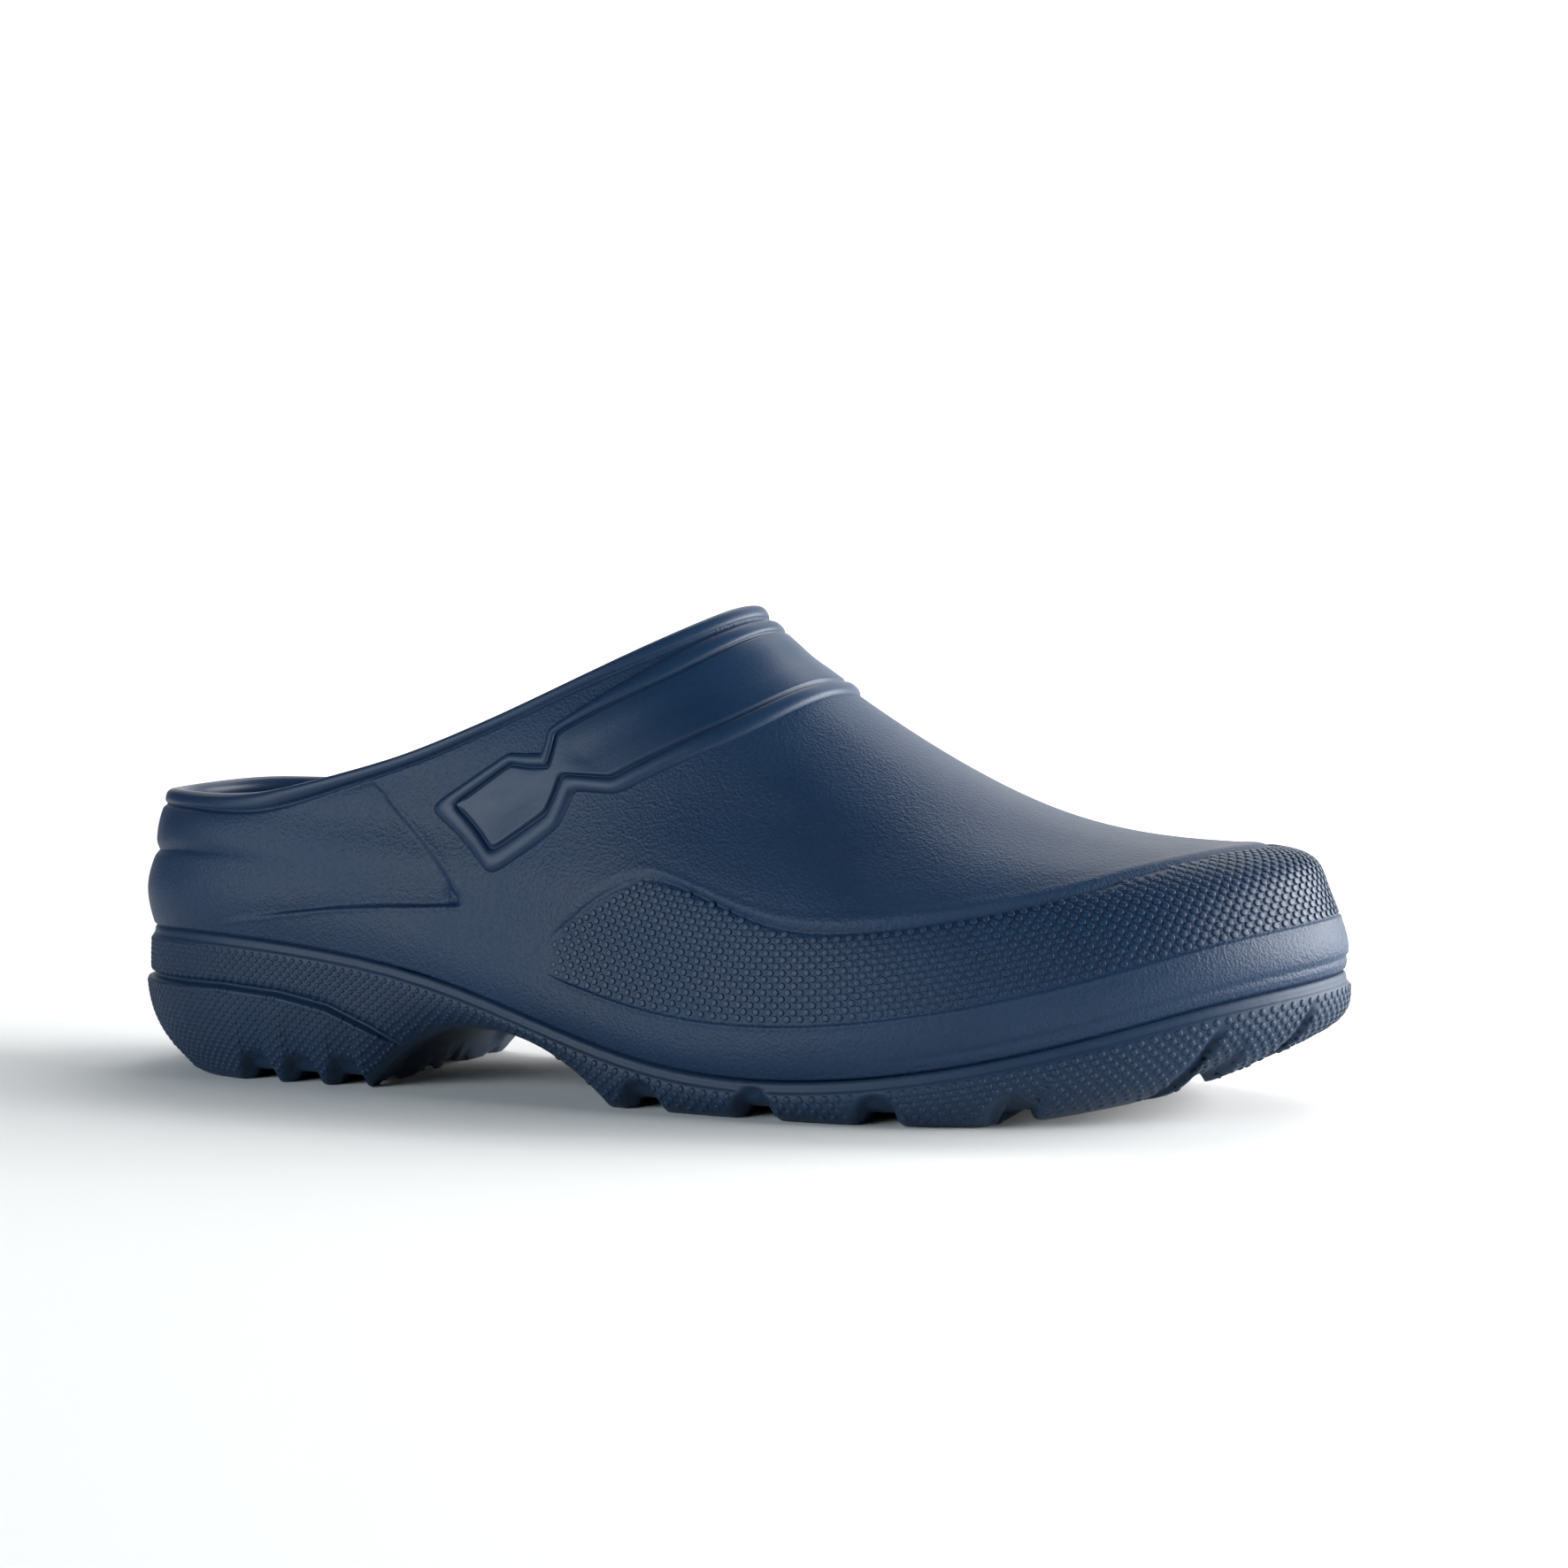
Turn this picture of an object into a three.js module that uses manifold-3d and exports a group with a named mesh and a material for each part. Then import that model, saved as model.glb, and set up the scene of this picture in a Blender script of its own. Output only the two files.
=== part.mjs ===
// Moulded garden clog for the right foot: a closed upper with a low heel counter, a treaded
// outsole, a loose foam insole and the cloth cover on the insole. Millimetres, toe towards +X,
// outer side of the foot towards -Y, ground at Z = 0.

import * as THREE from "three";
import { mergeVertices } from "three/addons/utils/BufferGeometryUtils.js";
import Module from "manifold-3d";

// Overall size: heel to toe, across the ball of the foot, and up to the instep edge.
const LENGTH = 291;
const WIDTH = 110;
const HEIGHT = 111;

// Moulded walls of the upper.
const WALL = 4.2;
const RIM_THICKNESS = 5;
const RIM_BEAD = 0.9;
const RIM_BEAD_HEIGHT = 4.6;
const RIM_EASE = 1.5;
const FLOOR_THICKNESS = 4;
const FLOOR_FILLET = 6;

// Height of the seam between upper and outsole inside the shoe.
const HEEL_SEAT = 27;
const BALL_SEAT = 9.5;
const TOE_SEAT = 20;
const SEAT_FALL_START = -60;
const SEAT_FALL_END = 40;
const TOE_SEAT_START = 70;
const SEAM_GAP = 0.3;

// Outsole underside.
const TOE_SPRING = 14;
const TOE_SPRING_START = 78;
const TOE_CURVE = 1.4;
const HEEL_BEVEL = 6;
const HEEL_BEVEL_START = -124;
const HEEL_CURVE = 1.5;
const ARCH_HEIGHT = 15;
const ARCH_CENTRE = -40;
const ARCH_BACK = 28;
const ARCH_FRONT = 36;
const ARCH_ROUNDNESS = 2.2;
const ARCH_STEPS = 14;
const NOTCH_WIDTH = 8;
const NOTCH_DEPTH = 2.5;
const NOTCH_TAPER = 1.2;
const NOTCH_PLACES = [-97, -85, -73, 5, 32, 59, 86, 118];

// Insole and its cloth cover.
const INSOLE_THICKNESS = 5;
const INSOLE_HEEL_CUP = 3;
const HEEL_CUP_START = -20;
const HEEL_CUP_FULL = -90;
const COVER_THICKNESS = 1.2;
const SEAT_GAP = 0.3;

// Number of columns round the shoe. Even, so that each outer column faces an inner one.
const COLUMNS = 72;

// Short step along a spline, counted in its own points, for slopes and lengths.
const SPLINE_STEP = 0.02;

// The clog is drawn at this size and stretched to the overall size above.
const DRAWN = { length: 291, width: 110, height: 111 };
const STRETCH = new THREE.Vector3(LENGTH / DRAWN.length, WIDTH / DRAWN.width, HEIGHT / DRAWN.height);

// Outer skin of the upper as seven lines round the shoe. Each has ten places from the toe tip to
// the heel back: toe tip, toe quarter, toe corner, fore ball, ball, fore waist, waist, heel side,
// heel corner and heel back. A place gives x, then y on the outer and on the inner side, then z.
const UPPER_LINES = [
  // seam with the outsole
  [[146, 5, 5, 30], [139.5, -16, 25.5, 28.8], [122, -34, 38.5, 25], [95, -46.5, 47.5, 17.5],
    [55, -54.5, 51, 10], [5, -51, 41, 11.2], [-50, -43, 35, 26.5], [-104, -39, 37, 34],
    [-132.7, -25, 25, 34.5], [-143, 0, 0, 34.5]],
  // widest line of the bumper
  [[146.5, 5, 5, 37.5], [140, -16.5, 26, 36.5], [122.5, -35.5, 40, 33], [95.5, -48.5, 49.5, 26],
    [55, -56.8, 53, 18], [5, -52.5, 42, 18], [-50, -43.5, 35.5, 34], [-104, -40, 38, 43],
    [-133.8, -25.7, 25.7, 43.5], [-144, 0, 0, 43.5]],
  // middle of the bumper
  [[142.3, 5, 5, 49], [136, -15.5, 25, 47.5], [119, -34, 38.5, 44], [93, -46.5, 47.5, 38],
    [54, -55, 51, 31], [3, -50, 40, 32], [-50, -42, 34.7, 44], [-104, -38.8, 36.8, 51],
    [-132.5, -25, 25, 51], [-142.7, 0, 0, 51]],
  // top of the bumper
  [[131, 5, 5, 57], [125.5, -13, 22, 56], [109, -29, 33.5, 53.2], [85, -41.5, 42, 48.8],
    [48, -49.5, 46.5, 45.5], [-2, -46.5, 38, 48], [-50, -40.5, 34, 52.5], [-103, -37.3, 35.3, 58],
    [-131, -24.2, 24.2, 58], [-141.2, 0, 0, 58]],
  // middle of the vamp
  [[83, 3, 3, 63.8], [81, -13, 18, 63.2], [72, -25, 28, 62.3], [53, -34.5, 34.5, 62.5],
    [24, -39, 36, 63.5], [-14, -40, 34.5, 64], [-55, -37.5, 33, 62], [-101, -36, 34, 63],
    [-130.3, -23.3, 23.3, 63], [-140.3, 0, 0, 63]],
  // instep, a little under the collar
  [[29.5, 0, 0, 94.6], [28.5, -9, 9, 94], [23, -18.3, 18, 92.3], [10.5, -26.8, 25.5, 88.8],
    [-7, -32.7, 30.5, 84.3], [-32, -36, 32.5, 78], [-65, -36.5, 33, 71], [-101, -35, 33, 66],
    [-129.5, -23, 23, 65.5], [-139.4, 0, 0, 66]],
  // collar edge
  [[12, 0, 0, 111], [10, -8, 7.5, 110], [4, -16.5, 15.5, 106.5], [-9, -25.5, 24, 99.5],
    [-27, -31, 29, 90.5], [-47, -34.3, 31.5, 81.5], [-73, -35.3, 32.8, 72.3],
    [-102, -34.5, 33, 67.3], [-129.1, -22.3, 22.3, 67.8], [-139.2, 0, 0, 68]],
];

// The collar stands this much higher round the inner side of the heel, and the line under it half.
const INNER_COLLAR_RISE = 2;
const RISE_SHARE = [0, 0, 0, 0, 0, 0.5, 1];

// Outsole outline where it meets the ground, at the same ten places.
const TREAD_LINE = [[136, 5, 5], [130, -13, 22], [113, -29, 33.5], [90, -41.5, 42.5], [55, -51.5, 48],
  [5, -48, 38], [-50, -39.5, 31.5], [-103, -36, 34], [-123.5, -20.5, 20.5], [-131, 0, 0]];

// Room between the inner wall and the edge of the insole, at the same ten places.
const INSOLE_CLEARANCE = [2.8, 2.8, 2.8, 2.5, 2.5, 4.8, 7.2, 5.8, 6.5, 7];

// ---- Curves ----------------------------------------------------------------------------------

// Cubic B-spline weights at a fraction along one span.
function spanWeights(t) {
  const s = 1 - t;
  return [s ** 3 / 6, (3 * t ** 3 - 6 * t ** 2 + 4) / 6, (3 * s ** 3 - 6 * s ** 2 + 4) / 6, t ** 3 / 6];
}

// Control points of a smooth spline through the points. An open one keeps its two end points.
function splineControls(points, closed) {
  const controls = points.map((point) => point.clone());
  const count = points.length;
  for (let pass = 0; pass < 30; pass += 1) {
    const first = closed ? 0 : 1;
    for (let i = first; i < count - first; i += 1) {
      const before = controls[(i + count - 1) % count];
      const after = controls[(i + 1) % count];
      controls[i] = points[i].clone().multiplyScalar(6).sub(before).sub(after).divideScalar(4);
    }
  }
  if (!closed) {
    controls.unshift(controls[0].clone().multiplyScalar(2).sub(controls[1]));
    controls.push(controls[count].clone().multiplyScalar(2).sub(controls[count - 1]));
  }
  return controls;
}

function blendControls(controls, start, t) {
  const weights = spanWeights(t);
  const point = new THREE.Vector3();
  weights.forEach((weight, k) => point.addScaledVector(controls[(start + k) % controls.length], weight));
  return point;
}

// Point of a closed spline, u counting its points round.
function closedPoint(controls, u) {
  const span = Math.floor(u);
  return blendControls(controls, (span + controls.length - 1) % controls.length, u - span);
}

// Point of an open spline, v counting its points from the first.
function openPoint(controls, v) {
  const span = Math.min(Math.floor(v), controls.length - 4);
  return blendControls(controls, span, v - span);
}

// Eased rise from 0 to 1 as x goes from one value to another, either way round.
function smoothStep(from, to, x) {
  const t = THREE.MathUtils.clamp((x - from) / (to - from), 0, 1);
  return t * t * (3 - 2 * t);
}

// The places of a line drawn from toe to heel, carried on round the inner side as one closed line.
function closedLine(line, outerSide, innerSide) {
  return [...line.map(outerSide), ...line.slice(1, -1).reverse().map(innerSide)];
}

// ---- Heights along the shoe ------------------------------------------------------------------

// Underside of the outsole, without the arch.
function treadHeight(x) {
  const drawnX = x / STRETCH.x;
  const front = Math.max(0, (drawnX - TOE_SPRING_START) / (DRAWN.length / 2 - TOE_SPRING_START));
  const back = Math.max(0, (HEEL_BEVEL_START - drawnX) / (DRAWN.length / 2 + HEEL_BEVEL_START));
  return TOE_SPRING * front ** TOE_CURVE + HEEL_BEVEL * back ** HEEL_CURVE;
}

// Seam between the floor of the upper and the outsole, away from the edge.
function seatHeight(x) {
  const drawnX = x / STRETCH.x;
  const fall = smoothStep(SEAT_FALL_START, SEAT_FALL_END, drawnX);
  const rise = Math.max(0, (drawnX - TOE_SEAT_START) / (DRAWN.length / 2 - TOE_SEAT_START));
  return HEEL_SEAT + (BALL_SEAT - HEEL_SEAT) * fall + (TOE_SEAT - BALL_SEAT) * rise ** TOE_CURVE;
}

function floorHeight(x) {
  return seatHeight(x) + FLOOR_THICKNESS;
}

// ---- Rings -----------------------------------------------------------------------------------

function innerRise(x) {
  return INNER_COLLAR_RISE * smoothStep(0, -70, x);
}

// One spline up each column of the outer skin, from the seam to the collar edge.
const skinControls = UPPER_LINES.map((line, i) => splineControls(
  closedLine(
    line,
    ([x, y, , z]) => new THREE.Vector3(x, y, z).multiply(STRETCH),
    ([x, , y, z]) => new THREE.Vector3(x, y, z + innerRise(x) * RISE_SHARE[i]).multiply(STRETCH),
  ),
  true,
));
const PLACES_ROUND = skinControls[0].length;

function columnAt(u) {
  return splineControls(skinControls.map((line) => closedPoint(line, u)), false);
}

const COLUMN_PLACES = Array.from({ length: COLUMNS }, (_, i) => (i * PLACES_ROUND) / COLUMNS);
const columns = COLUMN_PLACES.map(columnAt);
const nearColumns = COLUMN_PLACES.map((u) => columnAt((u + SPLINE_STEP) % PLACES_ROUND));
const COLLAR_LINE = UPPER_LINES.length - 1;

// Outward normal of the outer skin in one column.
function skinNormal(column, v) {
  const low = Math.max(0, v - SPLINE_STEP);
  const high = Math.min(COLLAR_LINE, v + SPLINE_STEP);
  const up = openPoint(columns[column], high).sub(openPoint(columns[column], low));
  const along = openPoint(nearColumns[column], v).sub(openPoint(columns[column], v));
  return up.cross(along).normalize();
}

// Place on a column at a distance below the collar edge, measured along the skin.
function placeBelowCollar(column, distance) {
  let v = COLLAR_LINE;
  let left = distance;
  let point = openPoint(columns[column], v);
  while (left > 0 && v > SPLINE_STEP) {
    const next = openPoint(columns[column], v - SPLINE_STEP);
    left -= next.distanceTo(point);
    point = next;
    v -= SPLINE_STEP;
  }
  return v;
}

// Ring of the outer skin moved along its normal; places gives v in each column.
function skinRing(places, offset) {
  return columns.map((curve, column) => {
    const v = places[column];
    return openPoint(curve, v).addScaledVector(skinNormal(column, v), offset);
  });
}

// The seam ring and its inward direction in plan, for everything that lies inside it.
const seamRing = skinRing(columns.map(() => 0), 0);
const inward = seamRing.map((point, i) => {
  const before = seamRing[(i + COLUMNS - 1) % COLUMNS];
  const after = seamRing[(i + 1) % COLUMNS];
  return new THREE.Vector3(-(before.y - after.y), before.x - after.x, 0).normalize();
});

// Ring inside the seam: inset gives millimetres, height gives z from the point and its column.
function insetRing(inset, height) {
  return seamRing.map((point, i) => {
    const moved = point.clone().addScaledVector(inward[i], typeof inset === "number" ? inset : inset[i]);
    moved.z = height(moved, i);
    return moved;
  });
}

// ---- Solids ----------------------------------------------------------------------------------

// Closed skin over a stack of rings. Each end is closed straight across, from side to side. The
// rings of an upright stack run from its underside outwards and up; a hanging one is turned over.
function ringSolid(rings, hanging = false) {
  const positions = rings.flatMap((ring) => ring.flatMap((point) => [point.x, point.y, point.z]));
  const triangles = [];
  for (let r = 0; r + 1 < rings.length; r += 1) {
    for (let i = 0; i < COLUMNS; i += 1) {
      const j = (i + 1) % COLUMNS;
      const low = r * COLUMNS;
      const high = low + COLUMNS;
      triangles.push([low + i, high + i, low + j]);
      triangles.push([low + j, high + i, high + j]);
    }
  }
  for (const [start, isTop] of [[0, false], [(rings.length - 1) * COLUMNS, true]]) {
    for (let i = 0; i < COLUMNS / 2; i += 1) {
      const here = start + i;
      const next = start + i + 1;
      const across = start + ((COLUMNS - i) % COLUMNS);
      const acrossNext = start + COLUMNS - i - 1;
      const pair = [[here, next, acrossNext], [here, acrossNext, across]];
      const whole = pair.filter(([a, b, c]) => a !== b && b !== c && c !== a);
      triangles.push(...whole.map((corners) => (isTop ? corners.reverse() : corners)));
    }
  }
  const geometry = new THREE.BufferGeometry();
  geometry.setAttribute("position", new THREE.Float32BufferAttribute(positions, 3));
  geometry.setIndex(triangles.flatMap((corners) => (hanging ? corners.reverse() : corners)));
  return geometry;
}

const wasm = await Module();
wasm.setup();

function toManifold(geometry) {
  geometry.deleteAttribute("normal");
  geometry.deleteAttribute("uv");
  const welded = mergeVertices(geometry, 1e-4);
  return new wasm.Manifold(new wasm.Mesh({
    numProp: 3,
    vertProperties: Float32Array.from(welded.getAttribute("position").array),
    triVerts: Uint32Array.from(welded.getIndex().array),
  }));
}

function fromManifold(solid) {
  const mesh = solid.getMesh();
  const geometry = new THREE.BufferGeometry();
  geometry.setAttribute("position", new THREE.Float32BufferAttribute(mesh.vertProperties, 3));
  geometry.setIndex(Array.from(mesh.triVerts));
  return geometry;
}

// ---- Upper -----------------------------------------------------------------------------------

// How far the seam surface has come down from the outer edge to its inner height, by inset.
const SEAM_DIVE = [[2, 0.47], [5, 0.87], [9, 1]];

function seamHeight(share) {
  return (point, i) => THREE.MathUtils.lerp(seamRing[i].z, seatHeight(point.x), share);
}

function seamRings() {
  const inner = SEAM_DIVE.map(([inset, share]) => insetRing(inset, seamHeight(share)));
  return [...inner.reverse(), seamRing];
}

// Rolled collar edge: outer bead, half-round top and inner lip.
const COLLAR_TURNS = [-90, -45, 0, 45, 90];

function collarRings() {
  const radius = (RIM_THICKNESS + RIM_BEAD) / 2;
  return COLLAR_TURNS.map((degrees) => columns.map((curve, column) => {
    const edge = openPoint(curve, COLLAR_LINE);
    const normal = skinNormal(column, COLLAR_LINE);
    const up = edge.clone().sub(openPoint(curve, COLLAR_LINE - SPLINE_STEP)).normalize();
    const angle = THREE.MathUtils.degToRad(degrees);
    const centre = edge.addScaledVector(up, -radius).addScaledVector(normal, RIM_BEAD - radius);
    const across = -Math.sin(angle) * radius;
    return centre.addScaledVector(normal, across).addScaledVector(up, Math.cos(angle) * radius);
  }));
}

// Rings of the wall, as shares of the height of each column up to the foot of the collar bead.
const OUTER_SHARES = [0.083, 0.167, 0.267, 0.367, 0.45, 0.533, 0.617, 0.717, 0.817, 0.9];
const INNER_SHARES = [0.91, 0.786, 0.66, 0.554, 0.446, 0.34];
const FILLET_TURNS = [0, 35, 65, 90];

function upperGeometry() {
  const beadEnd = columns.map((_, i) => placeBelowCollar(i, RIM_BEAD_HEIGHT));
  const underBead = columns.map((_, i) => placeBelowCollar(i, RIM_BEAD_HEIGHT + RIM_EASE));
  const wallRing = (share, offset) => skinRing(underBead.map((end) => share * end), offset);
  const fillet = FILLET_TURNS.map((degrees) => {
    const angle = THREE.MathUtils.degToRad(degrees);
    const inset = WALL + FLOOR_FILLET * (1 - Math.cos(angle));
    const rise = FLOOR_FILLET * (1 - Math.sin(angle));
    return insetRing(inset, (point) => floorHeight(point.x) + rise);
  });
  return ringSolid([
    ...seamRings(),
    ...OUTER_SHARES.map((share) => wallRing(share, 0)),
    wallRing(1, 0),
    skinRing(beadEnd, RIM_BEAD),
    ...collarRings(),
    wallRing(1, -RIM_THICKNESS),
    ...INNER_SHARES.map((share) => wallRing(share, -WALL)),
    ...fillet,
  ]);
}

// ---- Outsole ---------------------------------------------------------------------------------

// Side wall of the outsole: share of the way down, and how far it stands out from the seam line.
const SIDE_WALL = [[0.1, 0.8], [0.3, 1.3], [0.5, 0.5], [0.62, 1], [0.82, 0.4]];
const TUCK_CURVE = 4;

function outsoleBlank() {
  const tread = splineControls(
    closedLine(
      TREAD_LINE,
      ([x, y]) => new THREE.Vector3(x, y, 0).multiply(STRETCH),
      ([x, , y]) => new THREE.Vector3(x, y, 0).multiply(STRETCH),
    ),
    true,
  );
  const treadRing = COLUMN_PLACES.map((u) => closedPoint(tread, u));
  treadRing.forEach((point) => point.setZ(treadHeight(point.x)));
  const top = seamRings().map((ring) => ring.map((point) => point.clone().setZ(point.z - SEAM_GAP)));
  const sides = SIDE_WALL.map(([share, proud]) => treadRing.map((low, i) => {
    const point = seamRing[i].clone().addScaledVector(inward[i], -proud);
    point.lerp(low, share ** TUCK_CURVE);
    point.z = THREE.MathUtils.lerp(seamRing[i].z - SEAM_GAP, low.z, share);
    return point;
  }));
  return ringSolid([...top, ...sides, treadRing], true);
}

// Prism across the shoe with the given outline in side view.
function crossPrism(outline) {
  const shape = new THREE.Shape(outline.map(([x, z]) => new THREE.Vector2(x, z)));
  const geometry = new THREE.ExtrudeGeometry(shape, { depth: 2 * WIDTH, bevelEnabled: false });
  geometry.rotateX(Math.PI / 2);
  geometry.translate(0, WIDTH, 0);
  return geometry;
}

// Arched gap between the heel block and the forefoot.
function archPrism() {
  const outline = [[ARCH_CENTRE + ARCH_FRONT, -1], [ARCH_CENTRE - ARCH_BACK, -1]];
  for (let i = 1; i < ARCH_STEPS; i += 1) {
    const t = (2 * i) / ARCH_STEPS - 1;
    const reach = t < 0 ? ARCH_BACK : ARCH_FRONT;
    outline.push([ARCH_CENTRE + t * reach, ARCH_HEIGHT * (1 - Math.abs(t) ** ARCH_ROUNDNESS)]);
  }
  return crossPrism(outline.map(([x, z]) => [x * STRETCH.x, z]));
}

// Tread groove across the shoe, narrower at its top.
function notchPrism(place) {
  const x = place * STRETCH.x;
  const half = NOTCH_WIDTH / 2;
  const base = (side) => treadHeight(x + side * half);
  return crossPrism([
    [x - half - NOTCH_TAPER, base(-1) - NOTCH_DEPTH],
    [x + half + NOTCH_TAPER, base(1) - NOTCH_DEPTH],
    [x + half - NOTCH_TAPER, base(1) + NOTCH_DEPTH],
    [x - half + NOTCH_TAPER, base(-1) + NOTCH_DEPTH],
  ]);
}

function outsoleGeometry() {
  let solid = toManifold(outsoleBlank()).subtract(toManifold(archPrism()));
  for (const place of NOTCH_PLACES) {
    solid = solid.subtract(toManifold(notchPrism(place)));
  }
  return fromManifold(solid);
}

// ---- Insole and cover ------------------------------------------------------------------------

const roomAt = (room) => new THREE.Vector3(room, 0, 0);
const clearanceLine = splineControls(closedLine(INSOLE_CLEARANCE, roomAt, roomAt), true);
const insoleInset = COLUMN_PLACES.map((u) => WALL + closedPoint(clearanceLine, u).x);

// Top of the insole, with its edge raised round the heel.
function insoleTop(x, edge) {
  const cup = INSOLE_HEEL_CUP * smoothStep(HEEL_CUP_START, HEEL_CUP_FULL, x / STRETCH.x);
  return floorHeight(x) + SEAT_GAP + INSOLE_THICKNESS + cup * edge;
}

// Rings of the pad, from the middle of its top outwards: how far in from the edge, and its raise.
// The cover ends one ring short of the edge.
const PAD_RINGS = [[16, 0], [9, 0.35], [3, 0.9], [1.8, 0.96], [1, 1]];
const COVER_RINGS = PAD_RINGS.slice(0, -1);

// Rings of the pad's underside and edge: how far in from the edge, and height over the floor.
const PAD_UNDERSIDE = [[8, 0], [4, 0], [0.8, 2.2]];
const PAD_SHOULDER = 1;

function padRing(inset, height) {
  return insetRing(insoleInset.map((edge) => edge + inset), height);
}

function insoleGeometry() {
  const underside = PAD_UNDERSIDE.map(([inset, height]) => padRing(
    inset,
    (point) => floorHeight(point.x) + SEAT_GAP + height,
  ));
  const top = PAD_RINGS.map(([inset, edge]) => padRing(inset, (point) => insoleTop(point.x, edge)));
  const shoulder = padRing(0, (point) => insoleTop(point.x, 1) - PAD_SHOULDER);
  return ringSolid([...underside, shoulder, ...top.reverse()]);
}

function coverGeometry() {
  const layer = (height) => COVER_RINGS.map(([inset, edge]) => padRing(
    inset,
    (point) => insoleTop(point.x, edge) + height,
  ));
  const low = layer(SEAT_GAP);
  const high = layer(SEAT_GAP + COVER_THICKNESS);
  return ringSolid([...high, ...low.reverse()], true);
}

// ---- Assembly --------------------------------------------------------------------------------

function addPart(group, name, geometry, finish) {
  const mesh = new THREE.Mesh(geometry, new THREE.MeshStandardMaterial({ metalness: 0, ...finish }));
  mesh.name = name;
  group.add(mesh);
}

const group = new THREE.Group();
addPart(group, "upper", upperGeometry(), { color: 0x22395a, roughness: 0.45 });
addPart(group, "outsole", outsoleGeometry(), { color: 0x20344f, roughness: 0.55 });
addPart(group, "insole", insoleGeometry(), { color: 0x3a3f45, roughness: 0.9 });
addPart(group, "insole_cover", coverGeometry(), { color: 0x1d242f, roughness: 0.95 });

// The origin is on the ground under the middle of the clog.
const extent = new THREE.Box3().setFromObject(group);
const middle = extent.getCenter(new THREE.Vector3());
group.position.set(-middle.x, -middle.y, -extent.min.z);

export default group;
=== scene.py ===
"""Moulded garden clog for the right foot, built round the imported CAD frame.

Lengths in the tables are millimetres, with the toe towards +X, the outer side of the foot
towards -Y and the ground at Z = 0. Blender gets metres.
"""

import math

import bpy
import numpy as np
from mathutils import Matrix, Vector


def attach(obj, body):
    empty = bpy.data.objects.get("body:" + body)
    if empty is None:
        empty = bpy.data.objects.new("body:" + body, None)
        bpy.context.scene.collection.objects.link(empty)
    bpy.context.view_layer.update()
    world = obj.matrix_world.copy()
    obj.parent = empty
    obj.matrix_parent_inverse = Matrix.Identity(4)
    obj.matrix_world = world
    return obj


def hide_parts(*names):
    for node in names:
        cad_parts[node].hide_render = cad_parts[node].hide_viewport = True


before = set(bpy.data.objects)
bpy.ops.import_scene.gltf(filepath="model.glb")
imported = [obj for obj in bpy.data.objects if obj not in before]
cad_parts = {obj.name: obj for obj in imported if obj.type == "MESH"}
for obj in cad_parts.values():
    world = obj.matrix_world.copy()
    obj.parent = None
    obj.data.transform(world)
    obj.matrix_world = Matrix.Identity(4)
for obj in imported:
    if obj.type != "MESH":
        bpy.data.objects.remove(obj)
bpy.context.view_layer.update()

# ---- Upper: one moulding of soft foamed rubber, 4 mm thick, closed over the instep and low
# round the heel. It comes out of a grained steel mould, with a rolled collar, a toe bumper
# whose panel is sunk for studs, and a smooth inside. It sits on the outsole at a parting line.

MM = 0.001

# Outer skin as seven lines round the shoe. Each has ten places from the toe tip to the heel
# back, and a place gives x, then y on the outer and on the inner side, then z.
SKIN_LINES = [
    # parting line with the outsole
    [(146, 5, 5, 30), (139.5, -16, 25.5, 28.8), (122, -34, 38.5, 25), (95, -46.5, 47.5, 17.5),
     (55, -54.5, 51, 10), (5, -51, 41, 11.2), (-50, -43, 35, 26.5), (-104, -39, 37, 34),
     (-132.7, -25, 25, 34.5), (-143, 0, 0, 34.5)],
    # widest line of the bumper
    [(146.5, 5, 5, 37.5), (140, -16.5, 26, 36.5), (122.5, -35.5, 40, 33), (95.5, -48.5, 49.5, 26),
     (55, -56.8, 53, 18), (5, -52.5, 42, 18), (-50, -43.5, 35.5, 34), (-104, -40, 38, 43),
     (-133.8, -25.7, 25.7, 43.5), (-144, 0, 0, 43.5)],
    # middle of the bumper
    [(142.3, 5, 5, 49), (136, -15.5, 25, 47.5), (119, -34, 38.5, 44), (93, -46.5, 47.5, 38),
     (54, -55, 51, 31), (3, -50, 40, 32), (-50, -42, 34.7, 44), (-104, -38.8, 36.8, 51),
     (-132.5, -25, 25, 51), (-142.7, 0, 0, 51)],
    # top of the bumper
    [(131, 5, 5, 57), (125.5, -13, 22, 56), (109, -29, 33.5, 53.2), (85, -41.5, 42, 48.8),
     (48, -49.5, 46.5, 45.5), (-2, -46.5, 38, 48), (-50, -40.5, 34, 52.5), (-103, -37.3, 35.3, 58),
     (-131, -24.2, 24.2, 58), (-141.2, 0, 0, 58)],
    # middle of the vamp
    [(83, 3, 3, 63.8), (81, -13, 18, 63.2), (72, -25, 28, 62.3), (53, -34.5, 34.5, 62.5),
     (24, -39, 36, 63.5), (-14, -40, 34.5, 64), (-55, -37.5, 33, 62), (-101, -36, 34, 63),
     (-130.3, -23.3, 23.3, 63), (-140.3, 0, 0, 63)],
    # instep, a little under the collar
    [(29.5, 0, 0, 94.6), (28.5, -9, 9, 94), (23, -18.3, 18, 92.3), (10.5, -26.8, 25.5, 88.8),
     (-7, -32.7, 30.5, 84.3), (-32, -36, 32.5, 78), (-65, -36.5, 33, 71), (-101, -35, 33, 66),
     (-129.5, -23, 23, 65.5), (-139.4, 0, 0, 66)],
    # collar edge
    [(12, 0, 0, 111), (10, -8, 7.5, 110), (4, -16.5, 15.5, 106.5), (-9, -25.5, 24, 99.5),
     (-27, -31, 29, 90.5), (-47, -34.3, 31.5, 81.5), (-73, -35.3, 32.8, 72.3),
     (-102, -34.5, 33, 67.3), (-129.1, -22.3, 22.3, 67.8), (-139.2, 0, 0, 68)],
]
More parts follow.
